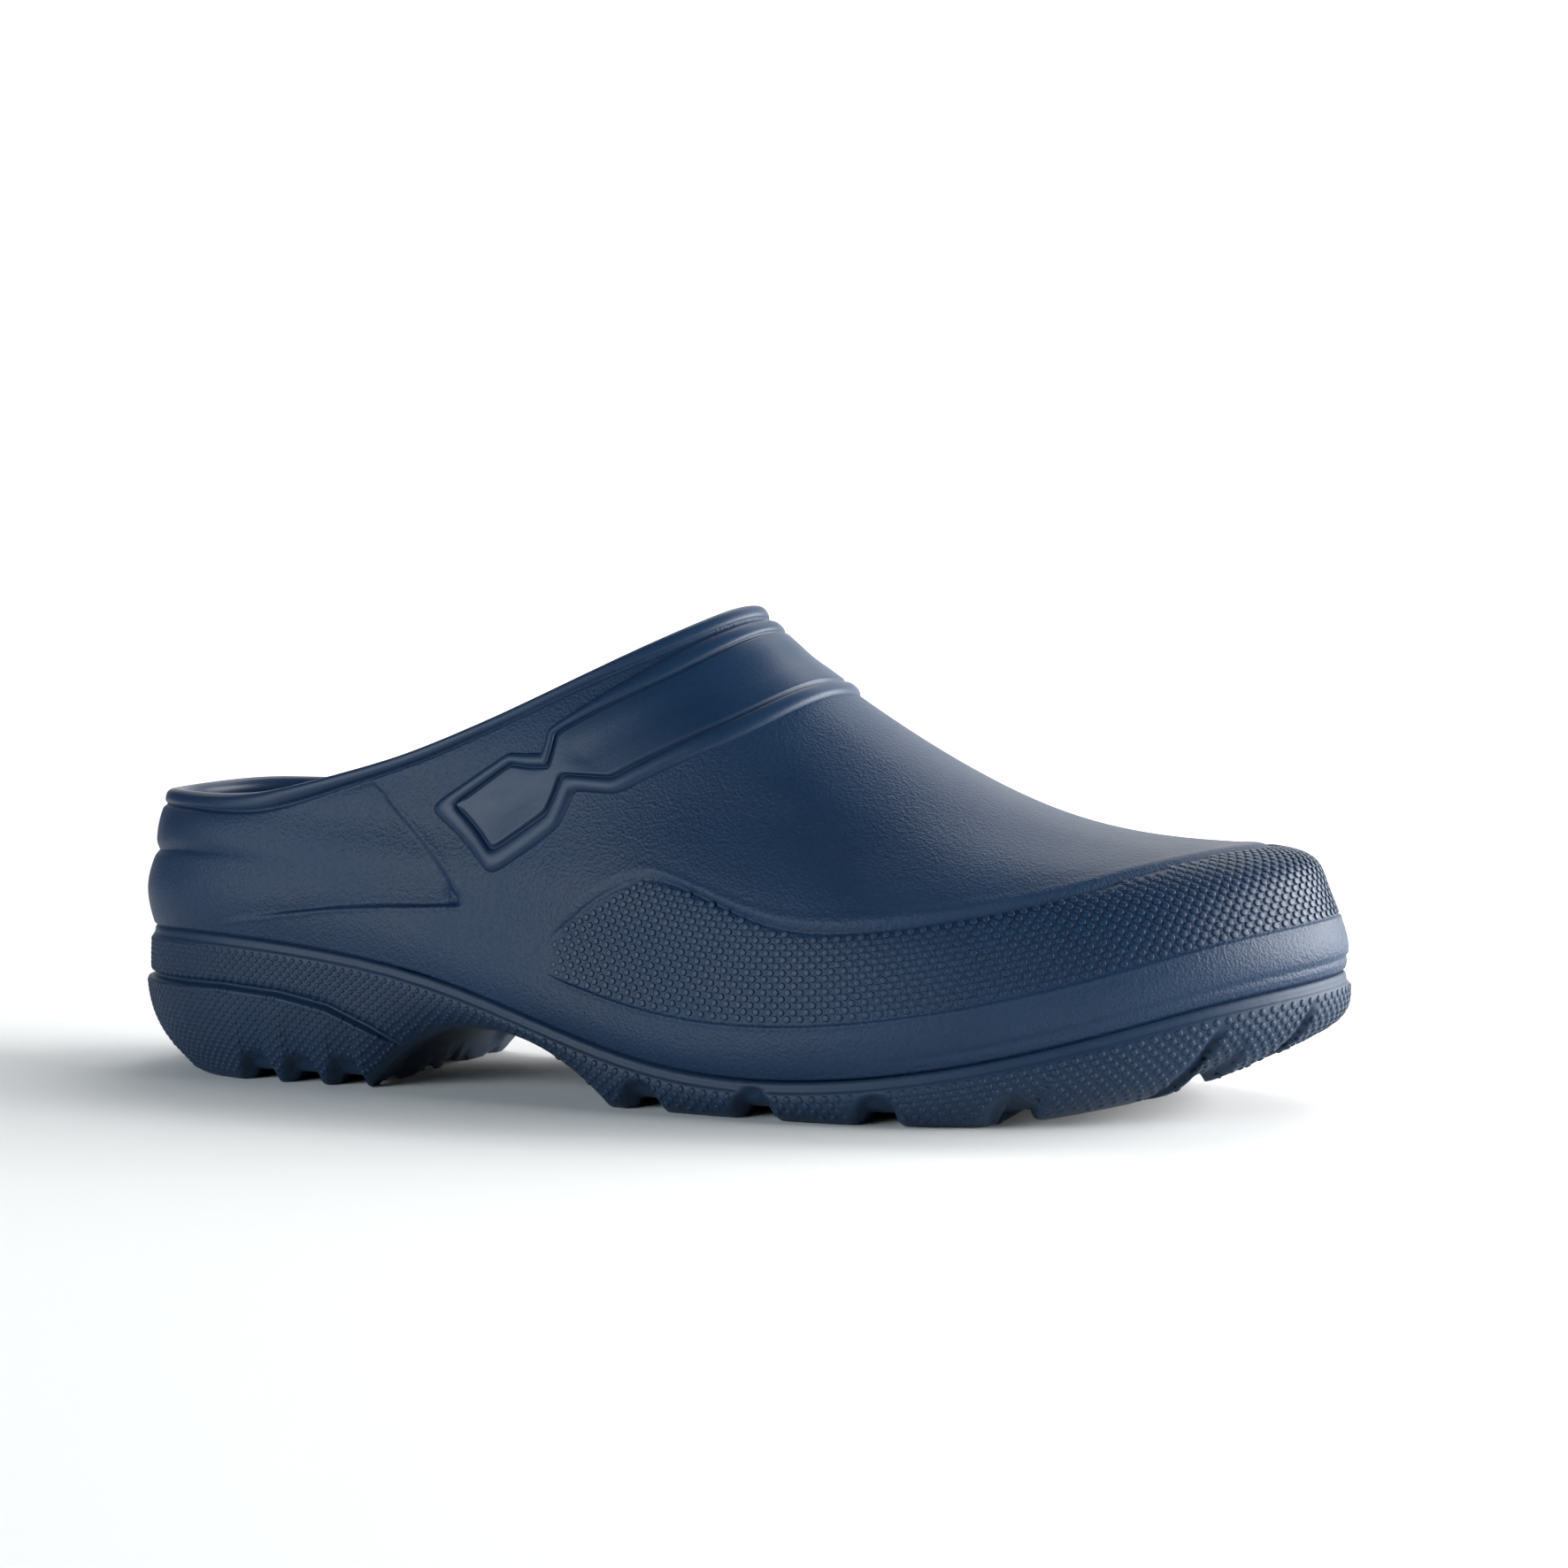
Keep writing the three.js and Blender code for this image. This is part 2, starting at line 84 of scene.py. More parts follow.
INNER_COLLAR_RISE = 2
RISE_SHARE = [0, 0, 0, 0, 0, 0.5, 1]
# Where the frame's origin stands in the drawing that the lines belong to.
DRAWN_ORIGIN = np.array([1.51, -1.705, 0])

WALL = 4.2
RIM_THICKNESS = 5.4
RIM_BEAD = 0.9
FLOOR_THICKNESS = 4
FLOOR_FILLET = 6
HEEL_PLACE = 9
PLACES_ROUND = 18


def smooth_step(start, end, value):
    """Eased rise from 0 to 1 as the value goes from start to end, either way round."""
    t = np.clip((value - start) / (end - start), 0, 1)
    return t * t * (3 - 2 * t)


def spline_controls(points, closed):
    """Control points of a smooth cubic spline through the points, which run along axis 0."""
    points = np.asarray(points, float)
    count = len(points)
    system = np.eye(count) * 4
    for i in range(count):
        system[i, (i + 1) % count] += 1
        system[i, i - 1] += 1
    if not closed:
        system[[0, -1]] = 0
        system[0, 0] = system[-1, -1] = 6
    flat = np.linalg.solve(system, 6 * points.reshape(count, -1)).reshape(points.shape)
    if closed:
        return flat
    return np.concatenate([[2 * flat[0] - flat[1]], flat, [2 * flat[-1] - flat[-2]]])


def spline_points(controls, places, closed):
    """Points of a spline at the places, which count its points from the first."""
    places = np.asarray(places, float)
    last_span = len(controls) - (1 if closed else 4)
    span = np.minimum(np.floor(places).astype(int), last_span)
    t = (places - span)[(...,) + (None,) * (controls.ndim - 1)]
    s = 1 - t
    weights = [s**3 / 6, (3 * t**3 - 6 * t**2 + 4) / 6, (3 * s**3 - 6 * s**2 + 4) / 6, t**3 / 6]
    first = span - 1 if closed else span
    return sum(w * controls[(first + k) % len(controls)] for k, w in enumerate(weights))


def closed_line(line, rise_share=0):
    """The places of a line on the outer side, carried on round the inner side."""
    outer = [(x, y, z) for x, y, _, z in line]
    inner = [(x, y, z + rise_share * INNER_COLLAR_RISE * smooth_step(0, -70, x))
             for x, _, y, z in line[-2:0:-1]]
    return np.array(outer + inner, float) - DRAWN_ORIGIN


skin_controls = spline_controls(
    np.stack([closed_line(line, share) for line, share in zip(SKIN_LINES, RISE_SHARE)], axis=1), True)

# The skin is sampled once as a table, by place round the shoe and by distance below the collar.
TABLE_PER_PLACE = 80
TABLE_STEP = 0.25


def column_points(places, heights):
    """Skin points in the columns at the places, one row per height from seam 0 to collar 6."""
    lines = spline_points(skin_controls, places % PLACES_ROUND, True)
    return spline_points(spline_controls(np.swapaxes(lines, 0, 1), False), heights, False)


def skin_table():
    """Points and normals of each column, evenly down it, and each column's length."""
    places = np.arange(PLACES_ROUND * TABLE_PER_PLACE) / TABLE_PER_PLACE
    heights = np.linspace(len(SKIN_LINES) - 1, 0, 721)
    points = column_points(places, heights)
    along = column_points(places + 0.01, heights) - column_points(places - 0.01, heights)
    normals = np.cross(-np.gradient(points, axis=0), along)
    normals /= np.linalg.norm(normals, axis=2, keepdims=True)
    steps = np.linalg.norm(np.diff(points, axis=0), axis=2)
    below = np.concatenate([np.zeros((1, len(places))), np.cumsum(steps, axis=0)])
    reach = below[-1]
    wanted = np.arange(0, reach.max() + 2 * TABLE_STEP, TABLE_STEP)
    both = np.concatenate([points, normals], axis=2)
    table = np.stack([
        np.stack([np.interp(wanted, below[:, i], both[:, i, axis]) for axis in range(6)], axis=1)
        for i in range(len(places))])
    return table, reach


skin, skin_reach = skin_table()


def round_lookup(values, place):
    """Value by place round the shoe, from a table with one entry for each sampled column."""
    at = (np.asarray(place, float) % PLACES_ROUND) * TABLE_PER_PLACE
    low = np.floor(at).astype(int) % len(values)
    t = (at - np.floor(at))[(...,) + (None,) * (values.ndim - 1)]
    return values[low] * (1 - t) + values[(low + 1) % len(values)] * t


def on_skin(place, below):
    """Skin point and outward normal at a place round the shoe and a distance below the collar."""
    place, below = np.broadcast_arrays(np.asarray(place, float), np.asarray(below, float))
    at = (place % PLACES_ROUND) * TABLE_PER_PLACE
    column = np.floor(at).astype(int) % len(skin)
    after = (column + 1) % len(skin)
    row_at = np.clip(below / TABLE_STEP, 0, skin.shape[1] - 1.001)
    row = np.floor(row_at).astype(int)
    s, t = (at - np.floor(at))[..., None], (row_at - row)[..., None]
    low = skin[column, row] * (1 - t) + skin[column, row + 1] * t
    high = skin[after, row] * (1 - t) + skin[after, row + 1] * t
    both = low * (1 - s) + high * s
    return both[..., :3], both[..., 3:] / np.linalg.norm(both[..., 3:], axis=-1, keepdims=True)


def reach_at(place):
    """Length of the skin from the collar down to the parting line."""
    return round_lookup(skin_reach, place)


def from_toe(place):
    """Places of the inner side counted like those of the outer side, from 0 at the toe to 9."""
    place = np.asarray(place, float) % PLACES_ROUND
    return np.minimum(place, PLACES_ROUND - place)


# Columns are spaced evenly along the bumper, at this rise above the parting line.
SPACING_RISE = 14


def columns_round(count, dense=(0, 0), extra=0.0):
    """Places of an even number of columns, alike on both sides, closer together where dense."""
    fine = np.linspace(0, HEEL_PLACE, 2001)
    points, _ = on_skin(fine, reach_at(fine) - SPACING_RISE)
    steps = np.linalg.norm(np.diff(points, axis=0), axis=1)
    middle = (fine[1:] + fine[:-1]) / 2
    steps = steps * (1 + extra * ((middle > dense[0]) & (middle < dense[1])))
    total = np.concatenate([[0], np.cumsum(steps)])
    half = np.interp(np.linspace(0, total[-1], count // 2 + 1), total, fine)
    return np.concatenate([half, PLACES_ROUND - half[-2:0:-1]])


def line_by_place(corners):
    """Smooth curve through (place, value) corners, given back as a function of the place."""
    controls = spline_controls(corners, False)
    curve = spline_points(controls, np.linspace(0, len(corners) - 1, 1200), False)
    return lambda place: np.interp(from_toe(place), curve[:, 0], curve[:, 1])


# Lower edge of the collar's rolled bead, by place round and distance below the collar.
bead_foot = line_by_place([(-0.3, 4.2), (0, 4.2), (1.5, 4.3), (3.3, 4.5), (4.1, 5.1), (4.95, 6.0),
                           (5.4, 6.9), (5.8, 7.2), (6.2, 6.6), (6.6, 5.8), (7, 4.9), (7.5, 4.4),
                           (8.2, 4.2), (9, 4.2)])
# Foot and head of the sunk panel round the toe, by place and rise above the parting line. The
# panel ends in a point on each side, and behind it the two lines only guide the mesh.
panel_foot = line_by_place([(-0.3, 12.5), (0, 12.5), (2, 12.5), (4, 12.3), (5, 11.8), (5.5, 11.5),
                            (6.2, 10), (7, 8), (8, 8), (9, 8)])
panel_head = line_by_place([(-0.3, 35.6), (0, 35.5), (0.7, 37.6), (1.5, 36), (2.2, 33.6), (2.8, 31.9),
                            (3.4, 32), (4, 32.2), (4.32, 34.2), (4.52, 38.6), (4.7, 43), (4.84, 43.4),
                            (4.98, 40), (5.16, 33.4), (5.32, 25.6), (5.43, 18.6), (5.49, 14),
                            (5.9, 15.5), (6.8, 19), (8, 18.7), (9, 18.7)])
PANEL_END = 5.46
PANEL_DEPTH = 0.32
PANEL_LIP = 0.14
PANEL_CREASE = 0.6
PANEL_ROLL = 0.2
BEAD_GROOVE = 0.4
SOLE_GROOVE = 0.5
SOLE_GROOVE_RISE = 3.1
PARTING_TUCK = 0.4
HEEL_UPPER_SWELL = 1.1
HEEL_LOWER_SWELL = 0.5
HEEL_CREASE = 0.55
POCKET_FOOT_DEPTH = 1.15
POCKET_FRONT_DEPTH = 0.55
POCKET_LIP = 0.2
POCKET_CORNER_DEPTH = 0.8


def graded(count, ease):
    """Fractions from 0 to 1, closer together at both ends."""
    t = np.arange(count) / count
    return t - ease * np.sin(2 * np.pi * t) / (2 * np.pi)


# The bead is fuller along the sides of the heel opening and flatter at the back of the heel.
SIDE_BEAD = 0.4
HEEL_BEAD_CUT = 0.5


def bead_proud(place):
    """How far the collar's bead stands out from the skin, by place round."""
    side = from_toe(place)
    along_opening = smooth_step(4.4, 5.4, side) * smooth_step(8.2, 7, side)
    return RIM_BEAD + SIDE_BEAD * along_opening - HEEL_BEAD_CUT * smooth_step(7.8, 8.8, side)


def ridge(distance, width):
    """Rounded ridge, 1 along its middle and about a third of that at its width to either side."""
    return np.exp(-((distance / width) ** 2))


def upper_relief(place, below):
    """How far the moulded skin stands out, in its own detail."""
    rise = reach_at(place) - below
    side = from_toe(place)
    points, _ = on_skin(place, below)
    foot = bead_foot(place)

    # the collar's bead curls under to a narrow groove
    turn = np.clip((below - foot / 2) / (foot / 2), 0, 1)
    relief = bead_proud(place) * np.sqrt(1 - turn**2)
    relief -= BEAD_GROOVE * ridge(below - foot - 0.35, 0.5)

    # the panel is sunk between the bumper's smooth band and the vamp, with a thin lip along its
    # foot and a crease and a soft roll along its head, which fade towards its rear end
    over_foot = rise - panel_foot(place)
    over_head = rise - panel_head(place)
    ends = smooth_step(PANEL_END, PANEL_END - 0.12, side)
    inside = smooth_step(-0.2, 0.2, over_foot) * smooth_step(0.2, -0.6, over_head)
    relief -= PANEL_DEPTH * inside * ends
    relief += PANEL_LIP * ridge(over_foot + 0.55, 0.4) * ends
    soft = ends * (1 - 0.7 * smooth_step(4.6, 4.95, side))
    relief -= PANEL_CREASE * ridge(over_head + 0.2, 1.1) * soft
    relief += PANEL_ROLL * ridge(over_head - 2.4, 1.5) * soft

    # a soft groove runs over the parting line from the ball round the toe, and the skin tucks
    # in at the parting line itself
    relief -= SOLE_GROOVE * ridge(rise - SOLE_GROOVE_RISE, 0.55) * smooth_step(4.1, 3.2, side)
    relief -= PARTING_TUCK * ridge(rise, 0.3)

    # round the heel the skin swells twice, with a crease between
    heel = smooth_step(6.5, 7.3, side)
    upper_swell = np.clip(over_head / (reach_at(place) - foot - panel_head(place)), 0, 1)
    relief += HEEL_UPPER_SWELL * heel * np.sin(np.pi * upper_swell) ** 0.6
    relief -= HEEL_CREASE * ridge(over_head, 1.2) * smooth_step(6.6, 7.5, side)
    lower_swell = np.clip(rise / panel_head(place), 0, 1)
    relief += HEEL_LOWER_SWELL * heel * np.sin(np.pi * lower_swell) ** 0.5

    # the quarter has a shallow pocket, deepest along its foot and in its front corner
    to_foot = distance_from(points, pocket_foot_line)
    to_front = distance_from(points, pocket_front_line)
    foot_place, foot_rise = np.array(POCKET_FOOT).T
    front_place, front_rise = np.array(POCKET_FRONT).T
    over_pocket_foot = rise > np.interp(side, foot_place, foot_rise)
    behind_front = side > np.interp(rise, front_rise, front_place)
    edge = np.where(over_pocket_foot & behind_front, 1, -1) * np.minimum(to_foot, to_front)
    fade = smooth_step(7.25, 6.5, side)
    depth = POCKET_FOOT_DEPTH * np.exp(-to_foot / 5) * fade
    depth = depth + POCKET_FRONT_DEPTH * np.exp(-to_front / 12)
    under_collar = smooth_step(0.5, 3, below - foot)
    relief -= depth * smooth_step(-0.4, 0.45, edge) * fade * under_collar
    relief += POCKET_LIP * ridge(edge + 0.75, 0.45) * (side < 7) * under_collar
    relief -= POCKET_CORNER_DEPTH * ridge(distance_from(points, pocket_corner), 1.2)
    return relief


def distance_from(points, path):
    """Distance from each point to a path on either side of the shoe."""
    nearest = np.full(points.shape[:-1], np.inf)
    for line in path:
        for start, end in zip(line[:-1], line[1:]):
            step = end - start
            t = np.clip((points - start) @ step / (step @ step), 0, 1)
            gap = np.linalg.norm(points - start - t[..., None] * step, axis=-1)
            nearest = np.minimum(nearest, gap)
    return nearest


def both_sides(corners):
    """A line of (place, rise above the parting line) corners as points, on both sides."""
    place, rise = np.array(corners).T
    return [on_skin(p, reach_at(p) - rise)[0] for p in (place, PLACES_ROUND - place)]


# The pocket's lower edge and its front edge, by place and rise above the parting line.
POCKET_FOOT = [(5.87, 18.6), (6.02, 15.9), (6.2, 13.4), (6.42, 10.5), (6.65, 7.5), (6.88, 5),
               (7.15, 2.6), (7.4, 0.8)]
POCKET_FRONT = [(5.87, 18.6), (5.93, 23.5), (6, 27.5), (6.07, 32.4), (6.11, 38), (6.09, 47.5)]
pocket_foot_line = both_sides(POCKET_FOOT)
pocket_front_line = both_sides(POCKET_FRONT)
pocket_corner = both_sides([(5.89, 20.1), (5.92, 20.3)])

UPPER_COLUMNS = 640
upper_places = columns_round(UPPER_COLUMNS, dense=(4.4, 7.4), extra=0.5)


# Rows from the parting line to the panel's foot, then to its head, to the bead and to the bead's
# crown, each with how much they crowd towards the two ends.
SKIN_ROWS = [(24, 0.5), (22, 0.75), (56, 0.7), (8, 0.3)]


def outer_rows(places):
    """Rows of the outer skin from the parting line up to where the collar starts to turn."""
    reach = reach_at(places)
    stops = [np.zeros_like(places), panel_foot(places), panel_head(places),
             reach - bead_foot(places), reach - bead_foot(places) / 2]
    stops[2] = np.maximum(stops[2], stops[1] + 1.5)
    rows = []
    for low, high, (count, ease) in zip(stops[:-1], stops[1:], SKIN_ROWS):
        rows += [low + (high - low) * t for t in graded(count, ease)]
    rows.append(stops[-1])
    return reach - np.array(rows)


def seam_ring(places):
    """Points of the parting line."""
    return on_skin(places, reach_at(places))[0]


def inward_of(ring):
    """Direction into the shoe in plan, in each column of a ring."""
    along = np.roll(ring, 1, axis=0) - np.roll(ring, -1, axis=0)
    side = np.stack([-along[:, 1], along[:, 0], np.zeros(len(along))], axis=1)
    return side / np.linalg.norm(side, axis=1, keepdims=True)


# Height of the outsole's top under the heel, the ball and the toes.
HEEL_SEAT = 27
BALL_SEAT = 9.5
TOE_SEAT = 20


def seat_height(x):
    """Height of the outsole's top under the foot, by x in the frame."""
    x = x + DRAWN_ORIGIN[0]
    rise = np.maximum(0, (x - 70) / 77)
    waist = (BALL_SEAT - HEEL_SEAT) * smooth_step(-60, 40, x)
    return HEEL_SEAT + waist + (TOE_SEAT - BALL_SEAT) * rise**1.4


def inset_ring(ring, inset, height):
    """Ring moved inwards in plan; height gives its z from x."""
    moved = ring + inward_of(ring) * np.asarray(inset, float).reshape(-1, 1)
    return np.stack([moved[:, 0], moved[:, 1], height(moved[:, 0])], axis=1)


# Rings of the joint under the skin: distance in, and share of the way down to the seat.
SEAM_DIVE = [(9, 1), (5, 0.87), (2, 0.47)]


def seam_rings(ring, drop=0.0):
    """Rings of the hidden joint surface, from its middle out towards the parting line."""
    rings = []
    for inset, share in SEAM_DIVE:
        moved = inset_ring(ring, inset, seat_height)
        moved[:, 2] = ring[:, 2] * (1 - share) + moved[:, 2] * share - drop
        rings.append(moved)
    return rings


# How far each column of the upper is under the collar's edge, square to it, by distance down it.
EDGE_LOOK_DEPTH = 30
edge_look = np.linspace(0, EDGE_LOOK_DEPTH, 46)
edge_points, _ = on_skin(upper_places, edge_look[:, None])
edge_drop = distance_from(edge_points, [np.concatenate([edge_points[0], edge_points[0][:1]])])
edge_drop = np.maximum.accumulate(edge_drop, axis=0)


def under_edge(drop):
    """Distance down each column of the upper to where it is this far under the collar's edge."""
    return np.array([np.interp(d, column, edge_look) for d, column in zip(drop, edge_drop.T)])


def collar_rings(places):
    """Rounded top of the collar, from its outer face over to the inside."""
    proud = bead_proud(places)
    half = (RIM_THICKNESS - RIM_BEAD + proud) / 2
    rings = []
    for a in np.radians(np.linspace(-90, 90, 17)[1:]):
        fall = 1 - math.cos(a)
        below = bead_foot(places) / 2 * fall if a < 0 else under_edge(half * fall)
        point, normal = on_skin(places, below)
        rings.append(point + normal * (proud - half - math.sin(a) * half)[:, None])
    return rings


# Marks down the inside wall: share of the way from under the rim to the parting line, and how
# far in from the skin, where the rolled rim thins to the wall.
RIM_TO_WALL = 1.2
WALL_MARKS = [(0, WALL + 0.2), (0.05, WALL + 0.05), (0.14, WALL), (0.28, WALL), (0.42, WALL),
              (0.56, WALL)]
INSIDE_ROWS = 40


def inner_rings(places):
    """Inside wall, from under the collar down to the floor of the shoe and across its edge."""
    ring = seam_ring(places)
    reach = reach_at(places)
    marks = []
    start = under_edge(np.full(len(places), RIM_THICKNESS / 2 + RIM_TO_WALL))
    for share, offset in WALL_MARKS:
        point, normal = on_skin(places, start + (reach - start) * share)
        marks.append(point - normal * offset)
    # behind the bumper the wall follows the skin down to the floor's fillet
    wall_mark = start + (reach - start) * WALL_MARKS[-1][0]
    over_fillet = seat_height(ring[:, 0]) + FLOOR_THICKNESS + FLOOR_FILLET - ring[:, 2]
    low_mark = reach - np.maximum(over_fillet, 0) - 2
    for share in (0.35, 0.7, 0.95):
        point, normal = on_skin(places, wall_mark * (1 - share) + low_mark * share)
        marks.append(point - normal * WALL)
    for degrees in (0, 45, 90):
        a = math.radians(degrees)
        rise = FLOOR_FILLET * (1 - math.sin(a))
        inset = WALL + FLOOR_FILLET * (1 - math.cos(a))
        marks.append(inset_ring(ring, inset, lambda x: seat_height(x) + FLOOR_THICKNESS + rise))
    marks.append(inset_ring(ring, WALL + 2 * FLOOR_FILLET, lambda x: seat_height(x) + FLOOR_THICKNESS))
    controls = spline_controls(np.array(marks), False)
    return list(spline_points(controls, np.linspace(0, len(marks) - 1, INSIDE_ROWS), False))


def ring_faces(rows, columns):
    """Quads of a stack of closed rings, outward where the rings run up the outside."""
    r, c = np.meshgrid(np.arange(rows - 1), np.arange(columns), indexing="ij")
    after = (c + 1) % columns
    low, high = r * columns, (r + 1) * columns
    quads = np.stack([low + c, high + c, high + after, low + after], axis=-1)
    return quads.reshape(-1, 4).tolist()


def ladder_faces(columns, start, upward):
    """Flat end across a ring from its outer to its inner side."""
    faces = []
    for i in range(columns // 2):
        corners = [start + i, start + i + 1, start + columns - i - 1, start + (columns - i) % columns]
        corners = list(dict.fromkeys(corners))
        faces.append(corners[::-1] if upward else corners)
    return faces


def add_piece(name, points, faces, materials, face_materials=None):
    """Smooth-shaded mesh object from points in millimetres."""
    mesh = bpy.data.meshes.new(name)
    mesh.from_pydata((np.asarray(points).reshape(-1, 3) * MM).tolist(), [], faces)
    for material in materials:
        mesh.materials.append(material)
    mesh.polygons.foreach_set("use_smooth", [True] * len(mesh.polygons))
    if face_materials is not None:
        mesh.polygons.foreach_set("material_index", face_materials)
    mesh.validate()
    mesh.update()
    piece = bpy.data.objects.new(name, mesh)
    bpy.context.scene.collection.objects.link(piece)
    return piece


def srgb(code):
    """Linear colour of an sRGB hex code."""
    parts = [int(code[i:i + 2], 16) / 255 for i in (1, 3, 5)]
    return [c / 12.92 if c <= 0.04045 else ((c + 0.055) / 1.055) ** 2.4 for c in parts] + [1]


def add_node(tree, kind, inputs=None, **settings):
    """Node with its settings; an input is a value or the output that is linked to it."""
    made = tree.nodes.new(kind)
    for name, value in settings.items():
        setattr(made, name, value)
    for name, value in (inputs or {}).items():
        if isinstance(value, bpy.types.NodeSocket):
            tree.links.new(value, made.inputs[name])
        else:
            made.inputs[name].default_value = value
    return made


def per_metre(size_mm):
    """Texture scale whose pattern repeats about once in the given size."""
    return 1 / (size_mm * MM)


def moulded_rubber(name, tones, roughness, grain_mm, grain_depth, sheen_spread=0.05):
    """Soft foamed rubber from a grained mould. The tones are its body colour and the paler,
    greyer colour that the surface takes where the skin of the foam is drier."""
    material = bpy.data.materials.new(name)
    material.use_nodes = True
    tree = material.node_tree
    tree.nodes.clear()
    where = add_node(tree, "ShaderNodeTexCoord").outputs["Object"]
    cloud = add_node(tree, "ShaderNodeTexNoise", {
        "Vector": where, "Scale": per_metre(45), "Detail": 4.0, "Roughness": 0.55}).outputs["Fac"]
    tone = add_node(tree, "ShaderNodeValToRGB", {"Fac": cloud})
    for stop, place, colour in zip(tone.color_ramp.elements, (0.36, 0.68), tones):
        stop.position = place
        stop.color = srgb(colour)
    # fine mottle of the foam's skin, a few tenths of a millimetre
    mottle = add_node(tree, "ShaderNodeTexNoise", {
        "Vector": where, "Scale": per_metre(0.9), "Detail": 3.0}).outputs["Fac"]
    value = add_node(tree, "ShaderNodeMapRange", {
        "Value": mottle, "From Min": 0.3, "From Max": 0.7,
        "To Min": 0.92, "To Max": 1.08}).outputs["Result"]
    colour = add_node(tree, "ShaderNodeHueSaturation", {"Color": tone.outputs["Color"], "Value": value})
    rough = add_node(tree, "ShaderNodeMapRange", {
        "Value": cloud, "From Min": 0.3, "From Max": 0.7,
        "To Min": roughness - sheen_spread, "To Max": roughness + sheen_spread}).outputs["Result"]
    # grain of the mould: rounded cells with softer clumps between them
    cells = add_node(tree, "ShaderNodeTexVoronoi", {
        "Vector": where, "Scale": per_metre(grain_mm), "Smoothness": 0.6},
        feature="SMOOTH_F1").outputs["Distance"]
    clumps = add_node(tree, "ShaderNodeTexNoise", {
        "Vector": where, "Scale": per_metre(grain_mm * 1.7), "Detail": 3.0}).outputs["Fac"]
    height = add_node(tree, "ShaderNodeMath", {0: cells, 1: clumps}, operation="ADD").outputs["Value"]
    bump = add_node(tree, "ShaderNodeBump", {
        "Height": height, "Strength": 1.0, "Distance": grain_depth * MM}).outputs["Normal"]
    shader = add_node(tree, "ShaderNodeBsdfPrincipled", {
        "Base Color": colour.outputs["Color"], "Roughness": rough, "Normal": bump, "IOR": 1.5,
        "Specular IOR Level": 0.3})
    add_node(tree, "ShaderNodeOutputMaterial", {"Surface": shader.outputs["BSDF"]})
    return material


# Foamed rubber, moulded: pebbled over the vamp and bumper, satin where the mould was polished
# on the collar and strap, and smooth inside, where it takes no grain.
grained_rubber = moulded_rubber("foamed_rubber_grained", ("#0e2640", "#132d48"), 0.52, 0.6, 0.11)
satin_rubber = moulded_rubber("foamed_rubber_satin", ("#0e2640", "#122c47"), 0.44, 0.5, 0.02)
inner_rubber = moulded_rubber("foamed_rubber_smooth_inside", ("#11263b", "#162b40"), 0.55, 1.2, 0.02)

below = outer_rows(upper_places)
skin_points, skin_normals = on_skin(upper_places[None, :], below)
relief = upper_relief(np.broadcast_to(upper_places, below.shape), below)
outer = skin_points + skin_normals * relief[..., None]
collar = collar_rings(upper_places)
upper_rings = seam_rings(seam_ring(upper_places)) + list(outer) + collar + inner_rings(upper_places)
upper_faces = ring_faces(len(upper_rings), UPPER_COLUMNS)
GRAINED, SATIN, INSIDE = 0, 1, 2
outer_end = len(SEAM_DIVE) + len(outer)
BEAD_ROWS = SKIN_ROWS[-1][0]
ring_material = np.full(len(upper_rings) - 1, INSIDE)
ring_material[:outer_end - BEAD_ROWS] = GRAINED
ring_material[outer_end - BEAD_ROWS:outer_end + len(collar)] = SATIN
face_materials = np.repeat(ring_material, UPPER_COLUMNS).tolist()
upper_faces += ladder_faces(UPPER_COLUMNS, 0, upward=False)
upper_faces += ladder_faces(UPPER_COLUMNS, (len(upper_rings) - 1) * UPPER_COLUMNS, upward=True)
face_materials += [GRAINED] * (UPPER_COLUMNS // 2) + [INSIDE] * (UPPER_COLUMNS // 2)
upper = add_piece("upper_shell", np.array(upper_rings), upper_faces,
                  [grained_rubber, satin_rubber, inner_rubber], face_materials)
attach(upper, "shoe")
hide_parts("upper")

# ---- Instep strap: a raised band in the same moulding that runs from a lozenge on the outer
# side over the instep to one on the inner side. A rounded border frames a smooth field, and a
# narrow groove parts the two.

# Outlines by place round the shoe and distance below the collar, from the lozenge's tip to its
# corner, its throat and the start of the band, then along the band to the middle of the instep.
STRAP_CORNERS = 4
OUTER_TOP = [(5.93, 20.5), (5.07, 16.1), (4.97, 18.4), (4.87, 20.2), (4.6, 14.7), (4.03, 11.7),
             (3.5, 8.9), (2.8, 6.2), (2, 5.2), (1, 5), (0, 5)]
GROOVE_TOP = [(5.73, 23), (5.15, 19.8), (5.06, 22.6), (4.95, 24.9), (4.6, 17.3), (4.03, 15.8),
              (3.5, 14), (2.8, 11.8), (2, 10.2), (1, 9.4), (0, 9.2)]
GROOVE_FOOT = [(5.73, 23), (5.67, 37.5), (5.22, 35.4), (4.9, 28.4), (4.6, 35.2), (4.03, 34.4),
               (3.5, 32.6), (2.8, 30.2), (2, 28.4), (1, 27.6), (0, 27.5)]
OUTER_FOOT = [(5.93, 20.5), (5.72, 43.2), (5.2, 40.2), (4.93, 33.9), (4.68, 39.8), (4.03, 39.4),
              (3.5, 38), (2.8, 35.4), (2, 33.2), (1, 32.2), (0, 32)]
CORNER_STEPS = 22
BAND_STEPS = 190
# passes that round the corners of the outer outline and of the groove
OUTER_ROUNDING = 10
GROOVE_ROUNDING = 5


